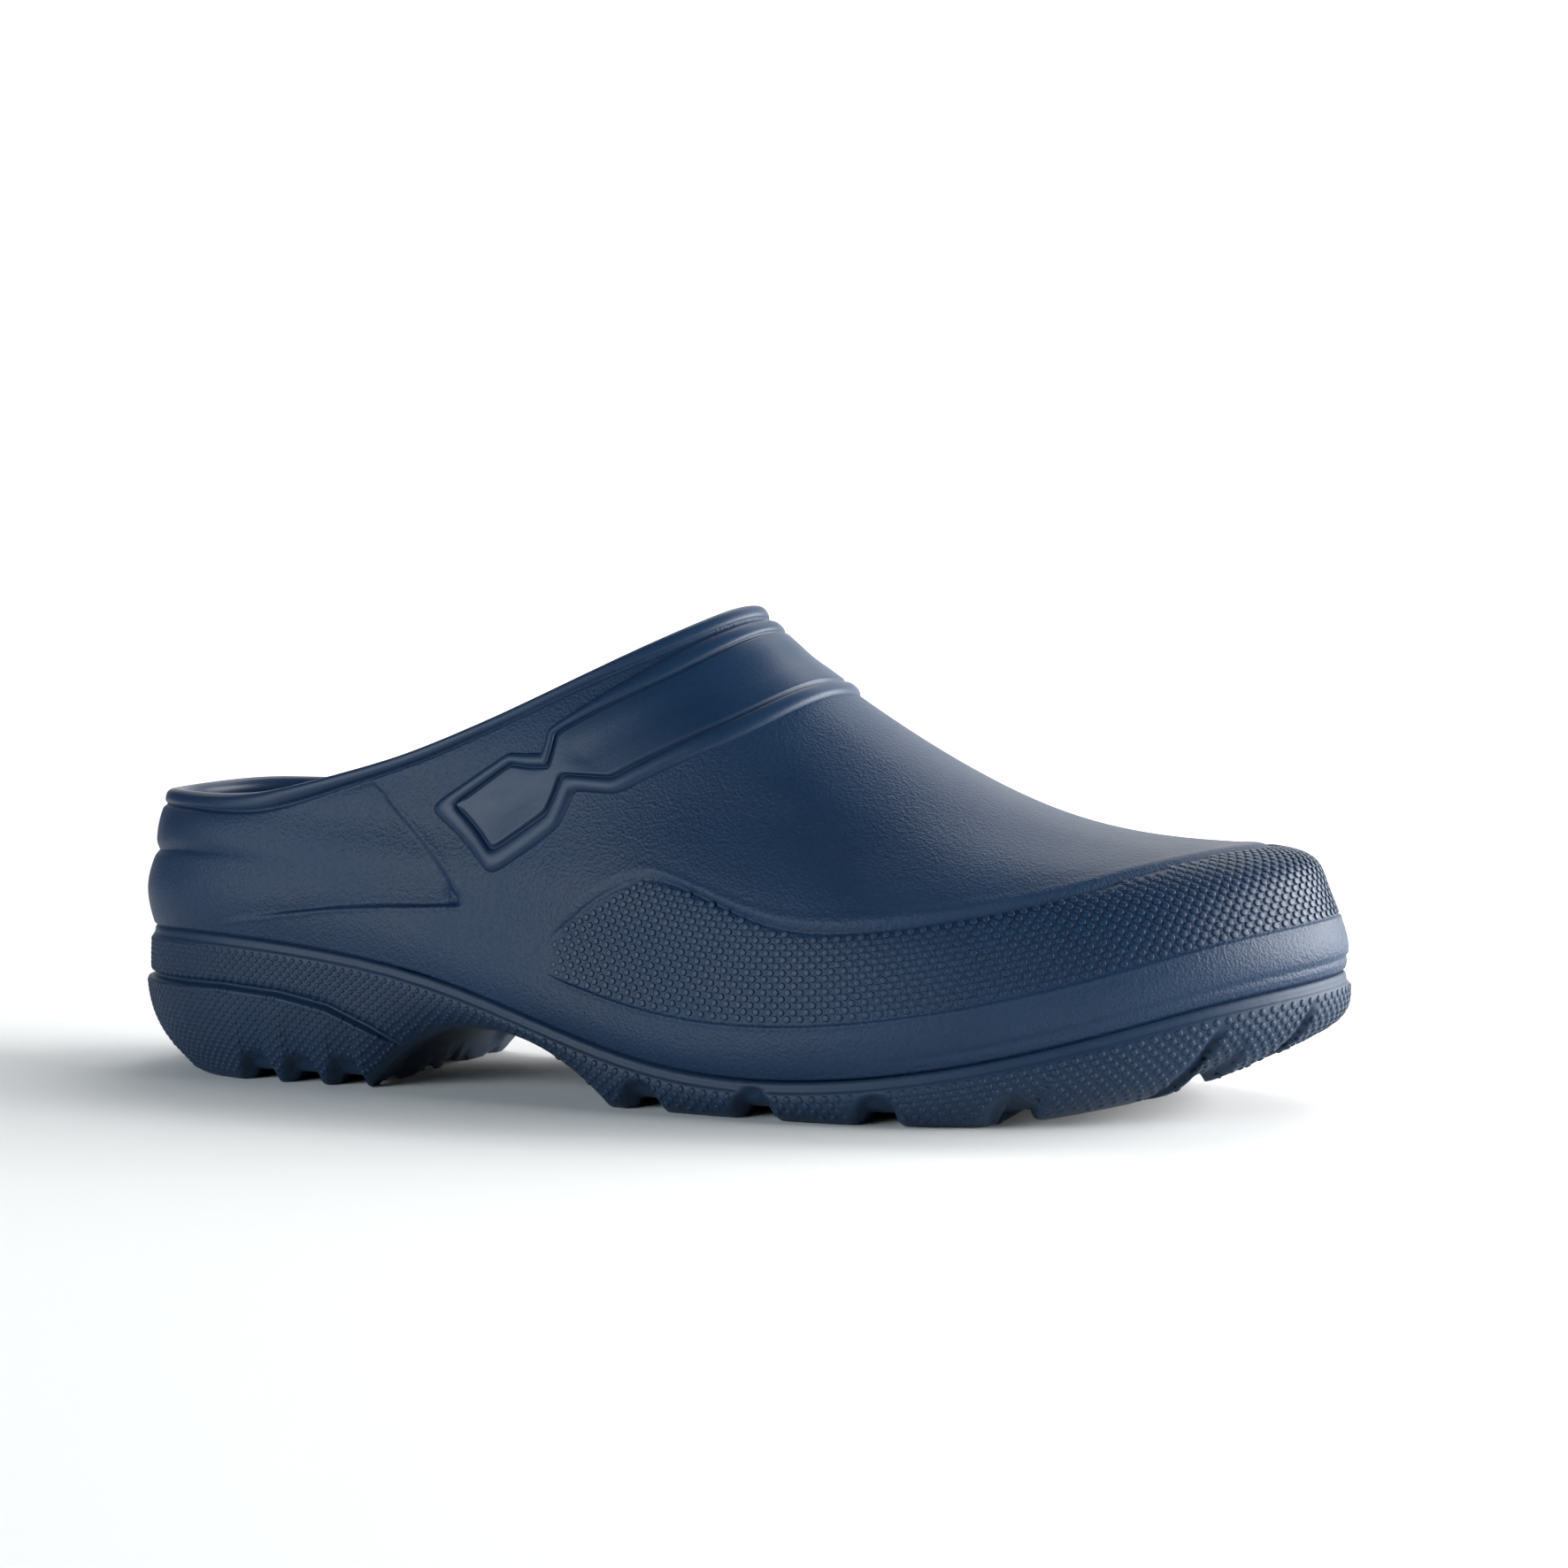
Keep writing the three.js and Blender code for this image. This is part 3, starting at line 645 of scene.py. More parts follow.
def strap_line(corners):
    """The whole line from the outer tip to the inner one, with straight lozenge sides."""
    corners = np.array(corners)
    sharp = corners[:STRAP_CORNERS + 1]
    lozenge = [sharp[i] + (sharp[i + 1] - sharp[i]) * t for i in range(STRAP_CORNERS)
               for t in np.arange(CORNER_STEPS) / CORNER_STEPS]
    half = corners[STRAP_CORNERS:]
    mirrored = half[-2::-1] * (-1, 1)
    controls = spline_controls(np.concatenate([half, mirrored]), False)
    band = spline_points(controls, np.linspace(0, 2 * len(half) - 2, BAND_STEPS), False)
    return np.concatenate([lozenge, band, np.array(lozenge[::-1]) * (-1, 1)])


def rounded_pair(top, foot, passes):
    """Two lines that meet at both tips, with their corners and tips rounded together."""
    loop = np.concatenate([strap_line(top), strap_line(foot)[-2:0:-1]])
    for _ in range(passes):
        loop = loop / 2 + (np.roll(loop, 1, axis=0) + np.roll(loop, -1, axis=0)) / 4
    steps = len(loop) // 2 + 1
    return loop[:steps], np.concatenate([loop[:1], loop[:steps - 2:-1]])


# Border from its outer edge to the groove: share of its width and height over the skin.
BORDER = [(0, -0.9), (0.03, -0.2), (0.08, 0.3), (0.16, 0.72), (0.27, 1.02), (0.42, 1.2), (0.58, 1.26),
          (0.72, 1.22), (0.83, 1.1), (0.9, 0.92), (0.95, 0.55)]
# Field from the groove: millimetres in from it and height, with a faint ridge along its foot.
FIELD_TOP = [(0, 0.16), (0.25, 0.24), (0.5, 0.66), (0.8, 0.9), (1.3, 0.98)]
FIELD_FOOT = [(1.5, 0.98), (1.1, 1.0), (0.8, 0.94), (0.5, 0.68), (0.25, 0.24), (0, 0.16)]
FIELD_MIDDLE = 14
FIELD_HEIGHT = 0.98
FIELD_DISH = 0.22
# the hidden foot of the band, which closes it under the skin
BURIED = -1.6
BURIED_STEPS = 6
outer_top, outer_foot = rounded_pair(OUTER_TOP, OUTER_FOOT, OUTER_ROUNDING)
groove_top, groove_foot = rounded_pair(GROOVE_TOP, GROOVE_FOOT, GROOVE_ROUNDING)
groove_gap = np.linalg.norm(on_skin(*groove_top.T)[0] - on_skin(*groove_foot.T)[0], axis=1)


def field_share(inset):
    """Share of the field's width that lies this far in from the groove, at most a quarter."""
    return np.minimum(inset / np.maximum(groove_gap, 0.01), 0.25)


# Rows round the band, each a line along it and the height over the skin.
strap_rows = [(outer_top + (groove_top - outer_top) * share, height) for share, height in BORDER]
field_rows = [(field_share(inset), height) for inset, height in FIELD_TOP]
dish = FIELD_DISH * smooth_step(8, 17, groove_gap)
for k in range(1, FIELD_MIDDLE):
    t = k / FIELD_MIDDLE
    middle_share = np.full(len(groove_gap), 0.25 + 0.5 * t)
    field_rows.append((middle_share, FIELD_HEIGHT - dish * math.sin(math.pi * t)))
field_rows += [(1 - field_share(inset), height) for inset, height in FIELD_FOOT]
for share, height in field_rows:
    strap_rows.append((groove_top + (groove_foot - groove_top) * share[:, None], height))
for share, height in BORDER[::-1]:
    strap_rows.append((outer_foot + (groove_foot - outer_foot) * share, height))
for k in range(1, BURIED_STEPS):
    strap_rows.append((outer_foot + (outer_top - outer_foot) * k / BURIED_STEPS, BURIED))
strap_points = []
for line, height in strap_rows:
    point, normal = on_skin(*line.T)
    strap_points.append(point + normal * np.broadcast_to(height, groove_gap.shape)[:, None])
strap_points = np.array(strap_points)
rows, steps = strap_points.shape[:2]
strap_faces = []
for r in range(rows):
    low, high = r * steps, (r + 1) % rows * steps
    strap_faces += [[low + i, high + i, high + i + 1, low + i + 1] for i in range(steps - 1)]
strap = add_piece("instep_strap", strap_points, strap_faces, [satin_rubber])
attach(strap, "shoe")

# ---- Studs of the toe panel: flat-topped round studs moulded in one with the bumper, in
# diagonal rows, which take the knocks at the toe. Each is sunk a little into the panel.

STUD_PITCH = 1.95
STUD_SIDES = 10
# radius and height over the skin, from under the panel up to the rounded shoulder
TOE_STUD = [(0.8, -0.9), (0.79, -0.28), (0.76, -0.12), (0.68, -0.02), (0.5, 0.01)]


def lattice(length, first_row, last_row, pitch):
    """Centres of diagonal rows: step along the row, and the row's own height."""
    gap = pitch * math.sqrt(2)
    spots = []
    for k, height in enumerate(np.arange(first_row, last_row, pitch / math.sqrt(2))):
        start = gap / 2 if k % 2 else 0
        spots += [(s, height) for s in np.arange(start, length, gap)]
    return np.array(spots)


def studs(centres, normals, profile, sides):
    """One closed turned stud at each centre, standing along its normal."""
    aside = np.cross(normals, [0, 0, 1.0])
    aside /= np.linalg.norm(aside, axis=1, keepdims=True)
    up = np.cross(normals, aside)
    angles = np.arange(sides) * 2 * np.pi / sides
    radius, height = np.array(profile).T
    circle = np.cos(angles)[:, None, None] * aside + np.sin(angles)[:, None, None] * up
    radius, height = radius[:, None, None, None], height[:, None, None, None]
    points = centres + radius * circle + height * normals
    points = points.transpose(2, 0, 1, 3)
    count, levels = points.shape[:2]
    faces = []
    for n in range(count):
        base = n * levels * sides
        for r in range(levels - 1):
            low, high = base + r * sides, base + (r + 1) * sides
            for i in range(sides):
                after = (i + 1) % sides
                faces.append([low + i, low + after, high + after, high + i])
        faces.append([base + i for i in range(sides)][::-1])
        faces.append([base + (levels - 1) * sides + i for i in range(sides)])
    return points.reshape(-1, 3), faces


def at_rise(place, rise):
    """Skin point and normal at a place and a rise above the parting line."""
    return on_skin(place, reach_at(place) - rise)


# Each row of the toe studs is reached from the last one in this many short steps.
STEPS_PER_ROW = 4


def row_dots(a, b):
    """Dot product of each row of a with the same row of b."""
    return (a * b).sum(axis=1)


def panel_spots(base_rise, rows_up, rows_down, pitch):
    """Places and rises of diagonal rows, stepped over the skin square to a line round the panel."""
    places = np.linspace(-PANEL_END, PANEL_END, 3000)
    steps = np.linalg.norm(np.diff(at_rise(places, base_rise)[0], axis=0), axis=1)
    run = np.concatenate([[0], np.cumsum(steps)])
    row_gap = pitch / math.sqrt(2)
    starts = np.interp(np.arange(0, run[-1], row_gap), run, places)
    even = np.arange(len(starts)) % 2 == 0
    found = []
    for way, row_count in ((1, rows_up), (-1, rows_down)):
        place, rise = starts.copy(), np.full(len(starts), float(base_rise))
        heading = np.tile([0.0, 0.0, way], (len(starts), 1))
        for k in range(row_count * STEPS_PER_ROW):
            if k % STEPS_PER_ROW == 0 and (k or way > 0):
                kept = even if k // STEPS_PER_ROW % 2 == 0 else ~even
                found.append(np.stack([place[kept], rise[kept]], axis=1))
            normal = at_rise(place, rise)[1]
            round_shoe = at_rise(place + 0.01, rise)[0] - at_rise(place - 0.01, rise)[0]
            up_skin = at_rise(place, rise + 0.3)[0] - at_rise(place, rise - 0.3)[0]
            rr, uu = row_dots(round_shoe, round_shoe), row_dots(up_skin, up_skin)
            ru = row_dots(round_shoe, up_skin)
            if k == 0:
                heading -= round_shoe * (row_dots(heading, round_shoe) / rr)[:, None]
            heading -= normal * row_dots(heading, normal)[:, None]
            heading /= np.linalg.norm(heading, axis=1, keepdims=True)
            step = heading * row_gap / STEPS_PER_ROW
            r, u = row_dots(round_shoe, step), row_dots(up_skin, step)
            # the step in places and rise, from the skin's own two directions at this spot
            place = place + 0.02 * (r * uu - u * ru) / (rr * uu - ru**2)
            rise = rise + 0.6 * (u * rr - r * ru) / (rr * uu - ru**2)
    return np.concatenate(found).T


STUD_LINE_RISE = 22
ROWS_UP = 24
ROWS_DOWN = 10
stud_place, stud_rise = panel_spots(STUD_LINE_RISE, ROWS_UP, ROWS_DOWN, STUD_PITCH)
inside = ((stud_rise > panel_foot(stud_place) + 0.75)
          & (stud_rise < panel_head(stud_place) - 1.3)
          & (from_toe(stud_place) < PANEL_END - 0.05))
stud_place, stud_rise = stud_place[inside], stud_rise[inside]
centres, normals = at_rise(stud_place, stud_rise)
# towards the panel's rear end the studs fade a little into the skin
centres -= normals * 0.1 * smooth_step(5.1, PANEL_END, from_toe(stud_place))[:, None]
stud_mesh = studs(centres, normals, TOE_STUD, STUD_SIDES)
toe_studs = add_piece("toe_panel_studs", *stud_mesh, [satin_rubber])
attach(toe_studs, "shoe")

# ---- Outsole: one block of denser foamed rubber under the whole shoe, moulded with a smooth
# lip at the parting line, a studded side wall, a ledge round the heel block, an arch under
# the waist and tread channels that open as notches in the side.

# Outline of the tread by x, then y on the outer and on the inner side, at the skin's places.
TREAD_LINE = [(136, 5, 5), (130, -13, 22), (113, -29, 33.5), (90, -41.5, 42.5), (55, -51.5, 48),
              (5, -48, 38), (-50, -39.5, 31.5), (-103, -36, 34), (-123.5, -20.5, 20.5), (-131, 0, 0)]
# Gap left under the upper, at the parting line and over the whole joint.
SEAM_GAP = 0.14
# Channels across the tread by x in the drawing, each with a scoop over it in the side wall.
CHANNEL_PLACES = [-97, -85, -73, 5, 32, 59, 86]
TOE_CHANNEL = 118
CHANNEL_WIDTH = 8
CHANNEL_DEPTH = 2.5
CHANNEL_SLOPE = 1.3
SCOOP_WIDTH = 11
SCOOP_HEIGHT = 7.6
SCOOP_DEPTH = 2.0
SCOOP_FADE = 3.5
LIP_HEIGHT = 2.2
EDGE_RADIUS = 1.4


def tread_height(x):
    """Underside of the sole at x in the drawing: flat, with toe spring and a heel bevel."""
    front = np.maximum(0, (x - 78) / 67.5)
    back = np.maximum(0, (-124 - x) / 21.5)
    tip = np.maximum(0, (x - 115) / 21)
    return 14 * front**1.4 + 3.6 * tip**1.5 + 6 * back**1.5


def arch_height(x):
    """Arch under the waist, at x in the drawing."""
    t = np.where(x < -40, (x + 40) / 28, (x + 40) / 36)
    return 15 * (1 - np.minimum(np.abs(t), 1) ** 2.2)


def channel_depth(x):
    """Depth of the tread channels across the sole, with sloping sides."""
    depth = np.zeros_like(x)
    for place in [*CHANNEL_PLACES, TOE_CHANNEL]:
        side = np.abs(x - place)
        depth = np.maximum(depth, smooth_step(CHANNEL_WIDTH / 2, CHANNEL_WIDTH / 2 - CHANNEL_SLOPE, side))
    return CHANNEL_DEPTH * depth


def ground_height(x):
    """Height of the underside at x in the frame."""
    drawn = x + DRAWN_ORIGIN[0]
    return np.maximum(tread_height(drawn) + channel_depth(drawn), arch_height(drawn))


SOLE_COLUMNS = 860
sole_places = columns_round(SOLE_COLUMNS)
seam = seam_ring(sole_places)
tread_points = closed_line([(x, outer_y, inner_y, 0) for x, outer_y, inner_y in TREAD_LINE])
tread_ring = spline_points(spline_controls(tread_points, True), sole_places, True)
tread_ring[:, 2] = ground_height(tread_ring[:, 0])
outward = -inward_of(seam)
wall_height = seam[:, 2] - SEAM_GAP - tread_ring[:, 2]

# Ledge round the top of the heel block, by x and z in the drawing.
HEEL_LEDGE = [(-160, 22), (-106, 22.1), (-90, 20.9), (-77, 18.5), (-66, 14.2), (-56, 9)]


def ledge_height(x):
    """Height of the ledge at x in the frame."""
    corners = np.array(HEEL_LEDGE, float)
    return np.interp(x + DRAWN_ORIGIN[0], corners[:, 0], corners[:, 1])


# Rows down the side wall: those of the lip, then down to the ledge and from it to the tread.
LIP_ROWS = [0, 0.2, 0.4, 0.65, 0.95, 1.3, 1.7, 2.0, 2.25, 2.5, 2.8, 3.2]
LEDGE_ROWS = 20
BLOCK_ROWS = 24
ledge_down = seam[:, 2] - SEAM_GAP - ledge_height(seam[:, 0])
ledge_share = np.clip((ledge_down - LIP_ROWS[-1]) / (wall_height - LIP_ROWS[-1]), 0.2, 0.94)
ledge_share = 0.5 + (ledge_share - 0.5) * smooth_step(-32, -54, seam[:, 0] + DRAWN_ORIGIN[0])
down = [np.full(SOLE_COLUMNS, t) for t in LIP_ROWS]
below_lip = wall_height - LIP_ROWS[-1]
for t in graded(LEDGE_ROWS, 0.55)[1:]:
    down.append(LIP_ROWS[-1] + below_lip * ledge_share * t)
for t in graded(BLOCK_ROWS, 0.55):
    down.append(LIP_ROWS[-1] + below_lip * (ledge_share + (1 - ledge_share) * t))
down.append(wall_height)
down = np.array(down)


# The lip's section: distance down from the parting line and how far it stands out.
LIP_PROFILE = [(0, -0.5), (0.2, -0.12), (0.5, 0.15), (0.9, 0.3), (1.4, 0.35), (2.0, 0.45),
               (2.5, 0.85), (3.2, 1.05)]
WALL_SWELL = 0.35
LEDGE_STEP = 1.0
LEDGE_ROLL = 0.2
LEDGE_GROOVE = 1.1
HEEL_SET_BACK = 0.3


def wall_relief(x, z, down, height):
    """How far the side wall stands out from the parting line."""
    lip_down, lip_proud = np.array(LIP_PROFILE).T
    lip = np.interp(down, lip_down, lip_proud)
    swell = WALL_SWELL * np.sin(np.pi * np.clip((down - LIP_HEIGHT) / (height - LIP_HEIGHT), 0, 1))
    heel = smooth_step(-54, -62, x + DRAWN_ORIGIN[0])
    above = z - ledge_height(x)
    block = LEDGE_STEP * smooth_step(0.3, -0.6, above) + LEDGE_ROLL * ridge(above + 0.5, 0.5)
    block -= LEDGE_GROOVE * ridge(above - 0.7, 0.75)
    return lip + swell + heel * (block - HEEL_SET_BACK)


share = down / wall_height
tuck = (share**4)[..., None]
plain_wall = seam * (1 - tuck) + tread_ring * tuck
plain_wall[..., 2] = seam[:, 2] - SEAM_GAP - down
proud = wall_relief(plain_wall[..., 0], plain_wall[..., 2], down, wall_height) * (1 - share**4)
edge = np.clip((down - wall_height + EDGE_RADIUS) / EDGE_RADIUS, 0, 1)
proud -= EDGE_RADIUS * (1 - np.sqrt(1 - edge**2)) * 0.8

# Scoops over the side notches, then the slanting ones at the toe and the heel corner, which
# run from a place and share of the wall's height down to another, with a radius at each end.
drawn_x = plain_wall[..., 0] + DRAWN_ORIGIN[0]
over_tread = plain_wall[..., 2] - tread_height(drawn_x)
along_side = (from_toe(sole_places) > 2.6) & (from_toe(sole_places) < 7.6)
scoop = np.zeros_like(proud)
for place in CHANNEL_PLACES:
    spread = np.hypot((drawn_x - place) / (SCOOP_WIDTH / 2), over_tread / SCOOP_HEIGHT)
    scoop = np.maximum(scoop, SCOOP_DEPTH * smooth_step(1.02, 0.72, spread) * along_side)
seam_steps = np.linalg.norm(np.diff(np.concatenate([seam, seam[:1]]), axis=0), axis=1)
seam_run = np.concatenate([[0], np.cumsum(seam_steps)])
SLANTED_SCOOPS = [((1.82, 0.3), 1.1, (2.16, 1.0), 2.7), ((0.84, 0.28), 1.1, (1.14, 1.0), 2.7),
                  ((7.95, 0.78), 0.8, (7.75, 1.0), 1.6)]


def wall_spot(place, share):
    """Distance round the seam and down the side wall, at a place and a share of its height."""
    column = int(np.argmin(np.abs(sole_places - place)))
    return np.array([seam_run[column], share * wall_height[column]])


flat_wall = np.stack([np.broadcast_to(seam_run[:-1], down.shape), down], axis=-1)
for top, top_radius, foot, foot_radius in SLANTED_SCOOPS:
    for mirror in (False, True):
        high = wall_spot(PLACES_ROUND - top[0] if mirror else top[0], top[1])
        low = wall_spot(PLACES_ROUND - foot[0] if mirror else foot[0], foot[1])
        step = low - high
        t = np.clip((flat_wall - high) @ step / (step @ step), 0, 1)
        off = np.linalg.norm(flat_wall - high - t[..., None] * step, axis=-1)
        radius = top_radius + (foot_radius - top_radius) * t
        hollow = smooth_step(1, 0.6, off / radius) * smooth_step(-0.1, 0.35, t)
        scoop = np.maximum(scoop, SCOOP_DEPTH * hollow)
wall = plain_wall + outward * (proud - scoop)[..., None]

# Underside: lines straight across between the two edges, with a wandering centre groove and
# fine sipes that split the lugs.
ACROSS = 84
CENTRE_GROOVE = 3.4
SIPE_WIDTH = 1.3
SIPE_DEPTH = 1.2
SIPE_GAP = 9
SIPE_ZIGZAG = 3.0
ZIGZAG_WIDTH = 9
CENTRE_DEPTH = 1.8
CENTRE_WANDER = 2.5
ARCH_HOLLOW = 2.2


def tread_detail(x, y, inset):
    """Extra depth of the grooves inside the tread; inset is the distance in from its edge."""
    drawn = x + DRAWN_ORIGIN[0]
    middle = CENTRE_WANDER * np.sin(drawn / 16)
    centre = smooth_step(CENTRE_GROOVE, CENTRE_GROOVE - 1.2, np.abs(y - middle))
    zigzag = drawn + SIPE_ZIGZAG * np.abs(((y / ZIGZAG_WIDTH) % 2) - 1)
    from_sipe = np.abs((zigzag % SIPE_GAP) - SIPE_GAP / 2)
    sipe = smooth_step(SIPE_WIDTH, SIPE_WIDTH / 2, from_sipe)
    return np.maximum(CENTRE_DEPTH * centre, SIPE_DEPTH * sipe) * smooth_step(3.5, 6.5, inset)


half = SOLE_COLUMNS // 2
cut_in = -outward * scoop[-1][:, None]
edge_line = wall[-1] - cut_in
outer_edge, inner_edge = edge_line[1:half], edge_line[:half:-1]
t = (np.arange(1, ACROSS) / ACROSS)[None, :, None]
underside = outer_edge[:, None] * (1 - t) + inner_edge[:, None] * t
chord = np.linalg.norm(outer_edge - inner_edge, axis=1)[:, None, None]
# a scoop's cut fades out over a few millimetres in from the edge
underside += cut_in[1:half, None] * np.exp(-t * chord / SCOOP_FADE)
underside += cut_in[:half:-1, None] * np.exp((t - 1) * chord / SCOOP_FADE)
x, y = underside[..., 0], underside[..., 1]
inset = np.minimum(t, 1 - t)[..., 0] * chord[..., 0]
inset = np.minimum(inset, np.minimum(x - x.min(), x.max() - x))
arch = smooth_step(1, 4, arch_height(x + DRAWN_ORIGIN[0]))
underside[..., 2] = ground_height(x) + tread_detail(x, y, inset) * (1 - arch)
# under the arch the sole is hollowed a little between two rails
underside[..., 2] += ARCH_HOLLOW * arch * smooth_step(6, 12, inset)

sole_rings = seam_rings(seam, SEAM_GAP) + list(wall)
wall_points = np.concatenate(sole_rings)
sole_points = np.concatenate([wall_points, underside.reshape(-1, 3)])
sole_faces = [face[::-1] for face in ring_faces(len(sole_rings), SOLE_COLUMNS)]
sole_faces += ladder_faces(SOLE_COLUMNS, 0, upward=True)
bottom = (len(sole_rings) - 1) * SOLE_COLUMNS
lines_across = np.empty((half - 1, ACROSS + 1), int)
lines_across[:, 0] = bottom + np.arange(1, half)
lines_across[:, -1] = bottom + SOLE_COLUMNS - np.arange(1, half)
lines_across[:, 1:-1] = len(wall_points) + np.arange((half - 1) * (ACROSS - 1)).reshape(half - 1, -1)
quads = np.stack([lines_across[:-1, :-1], lines_across[1:, :-1], lines_across[1:, 1:],
                  lines_across[:-1, 1:]], axis=-1)
sole_faces += quads.reshape(-1, 4).tolist()
for k in range(ACROSS):
    sole_faces.append([bottom, int(lines_across[0, k]), int(lines_across[0, k + 1])])
    sole_faces.append([bottom + half, int(lines_across[-1, k + 1]), int(lines_across[-1, k])])

# Denser foamed rubber for the sole: the same navy, a little duller, with a finer mould grain.
sole_rubber = moulded_rubber("foamed_rubber_sole", ("#0f253d", "#142b43"), 0.52, 0.45, 0.02)
outsole = add_piece("outsole_block", sole_points, sole_faces, [sole_rubber])
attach(outsole, "shoe")
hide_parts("outsole")

# ---- Studs of the sole's side wall: rounded dots round the forefoot and finer, closer ones
# round the waist and heel, moulded in one with the outsole.

DOT_PITCH = 1.95
DOT_SIDES = 10
DOT = [(0.86, -0.8), (0.84, -0.1), (0.76, 0.1), (0.56, 0.24), (0.3, 0.3)]
SCALE_PITCH = 1.6
SCALE_SIDES = 8
SCALE = [(0.76, -0.7), (0.74, -0.1), (0.56, 0.12), (0.28, 0.24)]
# The dots change to the finer scales at this x in the drawing.
DOTS_FROM = -20

rows_down = np.gradient(wall, axis=0)
columns_along = np.roll(wall, -1, axis=1) - np.roll(wall, 1, axis=1)
wall_normals = np.cross(columns_along, rows_down)
wall_normals /= np.linalg.norm(wall_normals, axis=2, keepdims=True)


def on_wall(run, depth):
    """Side wall points, normals and scoop depths, by distance round the parting line and down."""
    at = np.interp(run, seam_run, np.arange(SOLE_COLUMNS + 1))
    column = np.floor(at).astype(int) % SOLE_COLUMNS
    found = []
    for c, fraction, deep in zip(column, at - np.floor(at), depth):
        after = (c + 1) % SOLE_COLUMNS
        row = np.interp(deep, down[:, c], np.arange(len(down)))
        r = min(int(row), len(down) - 2)
        f = row - r
        for grid in (wall, wall_normals, scoop[..., None]):
            low = grid[r, c] * (1 - f) + grid[r + 1, c] * f
            high = grid[r, after] * (1 - f) + grid[r + 1, after] * f
            found.append(low * (1 - fraction) + high * fraction)
    return [np.array(found[k::3]) for k in range(3)]


def sole_studs(pitch, profile, sides, keep):
    """Studs of one kind over the side wall, clear of its scoops and ledge, where keep says so."""
    spots = lattice(seam_run[-1] - pitch / 2, LIP_HEIGHT + 1.4, wall_height.max(), pitch)
    column = np.interp(spots[:, 0], seam_run, np.arange(SOLE_COLUMNS + 1)).astype(int)
    column %= SOLE_COLUMNS
    over_tread_edge = spots[:, 1] < wall_height[column] - 1.3
    spots = spots[over_tread_edge & keep(seam[column, 0] + DRAWN_ORIGIN[0])]
    centres, normals, scooped = on_wall(*spots.T)
    clear = scooped[:, 0] < 0.12
    near_ledge = np.abs(centres[:, 2] - ledge_height(centres[:, 0]) - 0.2) < 0.9
    clear &= ~(near_ledge & (centres[:, 0] < -55))
    normals = normals / np.linalg.norm(normals, axis=1, keepdims=True)
    return studs(centres[clear], normals[clear], profile, sides)


dot_mesh = sole_studs(DOT_PITCH, DOT, DOT_SIDES, lambda x: x > DOTS_FROM)
scale_mesh = sole_studs(SCALE_PITCH, SCALE, SCALE_SIDES, lambda x: x < DOTS_FROM)
dots = add_piece("sole_wall_dots", *dot_mesh, [sole_rubber])
scales = add_piece("sole_wall_scales", *scale_mesh, [sole_rubber])
for piece in (dots, scales):
    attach(piece, "shoe")

# ---- Insole: a loose pad of charcoal EVA foam, die-cut and pressed so that its edge rises round
# the heel. It lies on the floor of the upper and lifts out by the heel.

SEAT_GAP = 0.3
INSOLE_THICKNESS = 5
INSOLE_HEEL_CUP = 3
# How far in from the upper's wall the pad's edge lies, at each place from the toe to the heel.
INSOLE_CLEARANCE = [2.8, 2.8, 2.8, 2.5, 2.5, 4.8, 7.2, 5.8, 6.5, 7]
PAD_COLUMNS = 420
pad_places = columns_round(PAD_COLUMNS)
pad_seam = seam_ring(pad_places)
clearance = np.array(INSOLE_CLEARANCE + INSOLE_CLEARANCE[-2:0:-1])
pad_inset = WALL + spline_points(spline_controls(clearance[:, None], True), pad_places, True)[:, 0]


def insole_top(x, edge):
    """Top of the pad; edge is 0 in its middle and 1 at its raised rim."""
    cup = INSOLE_HEEL_CUP * smooth_step(-20, -90, x + DRAWN_ORIGIN[0])
    return seat_height(x) + FLOOR_THICKNESS + SEAT_GAP + INSOLE_THICKNESS + cup * edge


def pad_ring(inset, height):
    """Ring of the pad, this far in from its edge; height gives its z from x."""
    return inset_ring(pad_seam, pad_inset + inset, height)


def pad_bottom(x):
    """Underside of the pad, just over the floor of the upper."""
    return seat_height(x) + FLOOR_THICKNESS + SEAT_GAP


# Rings of the pad's underside, from its flat to its turned-up edge: distance in and rise.
PAD_FOOT = [(8, 0), (4, 0), (2, 0.9), (0.8, 2.2), (0.2, 3.2)]
# Rings of the top from the edge inwards: distance in, share of the raised rim, and rounding.
PAD_TOP = [(0, 1, -1), (0.15, 1, -0.45), (0.5, 1, -0.12), (1, 1, 0), (1.8, 0.96, 0), (3, 0.88, 0),
           (5, 0.66, 0), (7, 0.48, 0), (9, 0.33, 0), (12, 0.13, 0), (16, 0, 0)]
pad_rings = [pad_ring(inset, lambda x: pad_bottom(x) + rise) for inset, rise in PAD_FOOT]
pad_rings += [pad_ring(inset, lambda x: insole_top(x, edge) + dip) for inset, edge, dip in PAD_TOP]
pad_faces = ring_faces(len(pad_rings), PAD_COLUMNS)
pad_faces += ladder_faces(PAD_COLUMNS, 0, upward=False)
pad_faces += ladder_faces(PAD_COLUMNS, (len(pad_rings) - 1) * PAD_COLUMNS, upward=True)


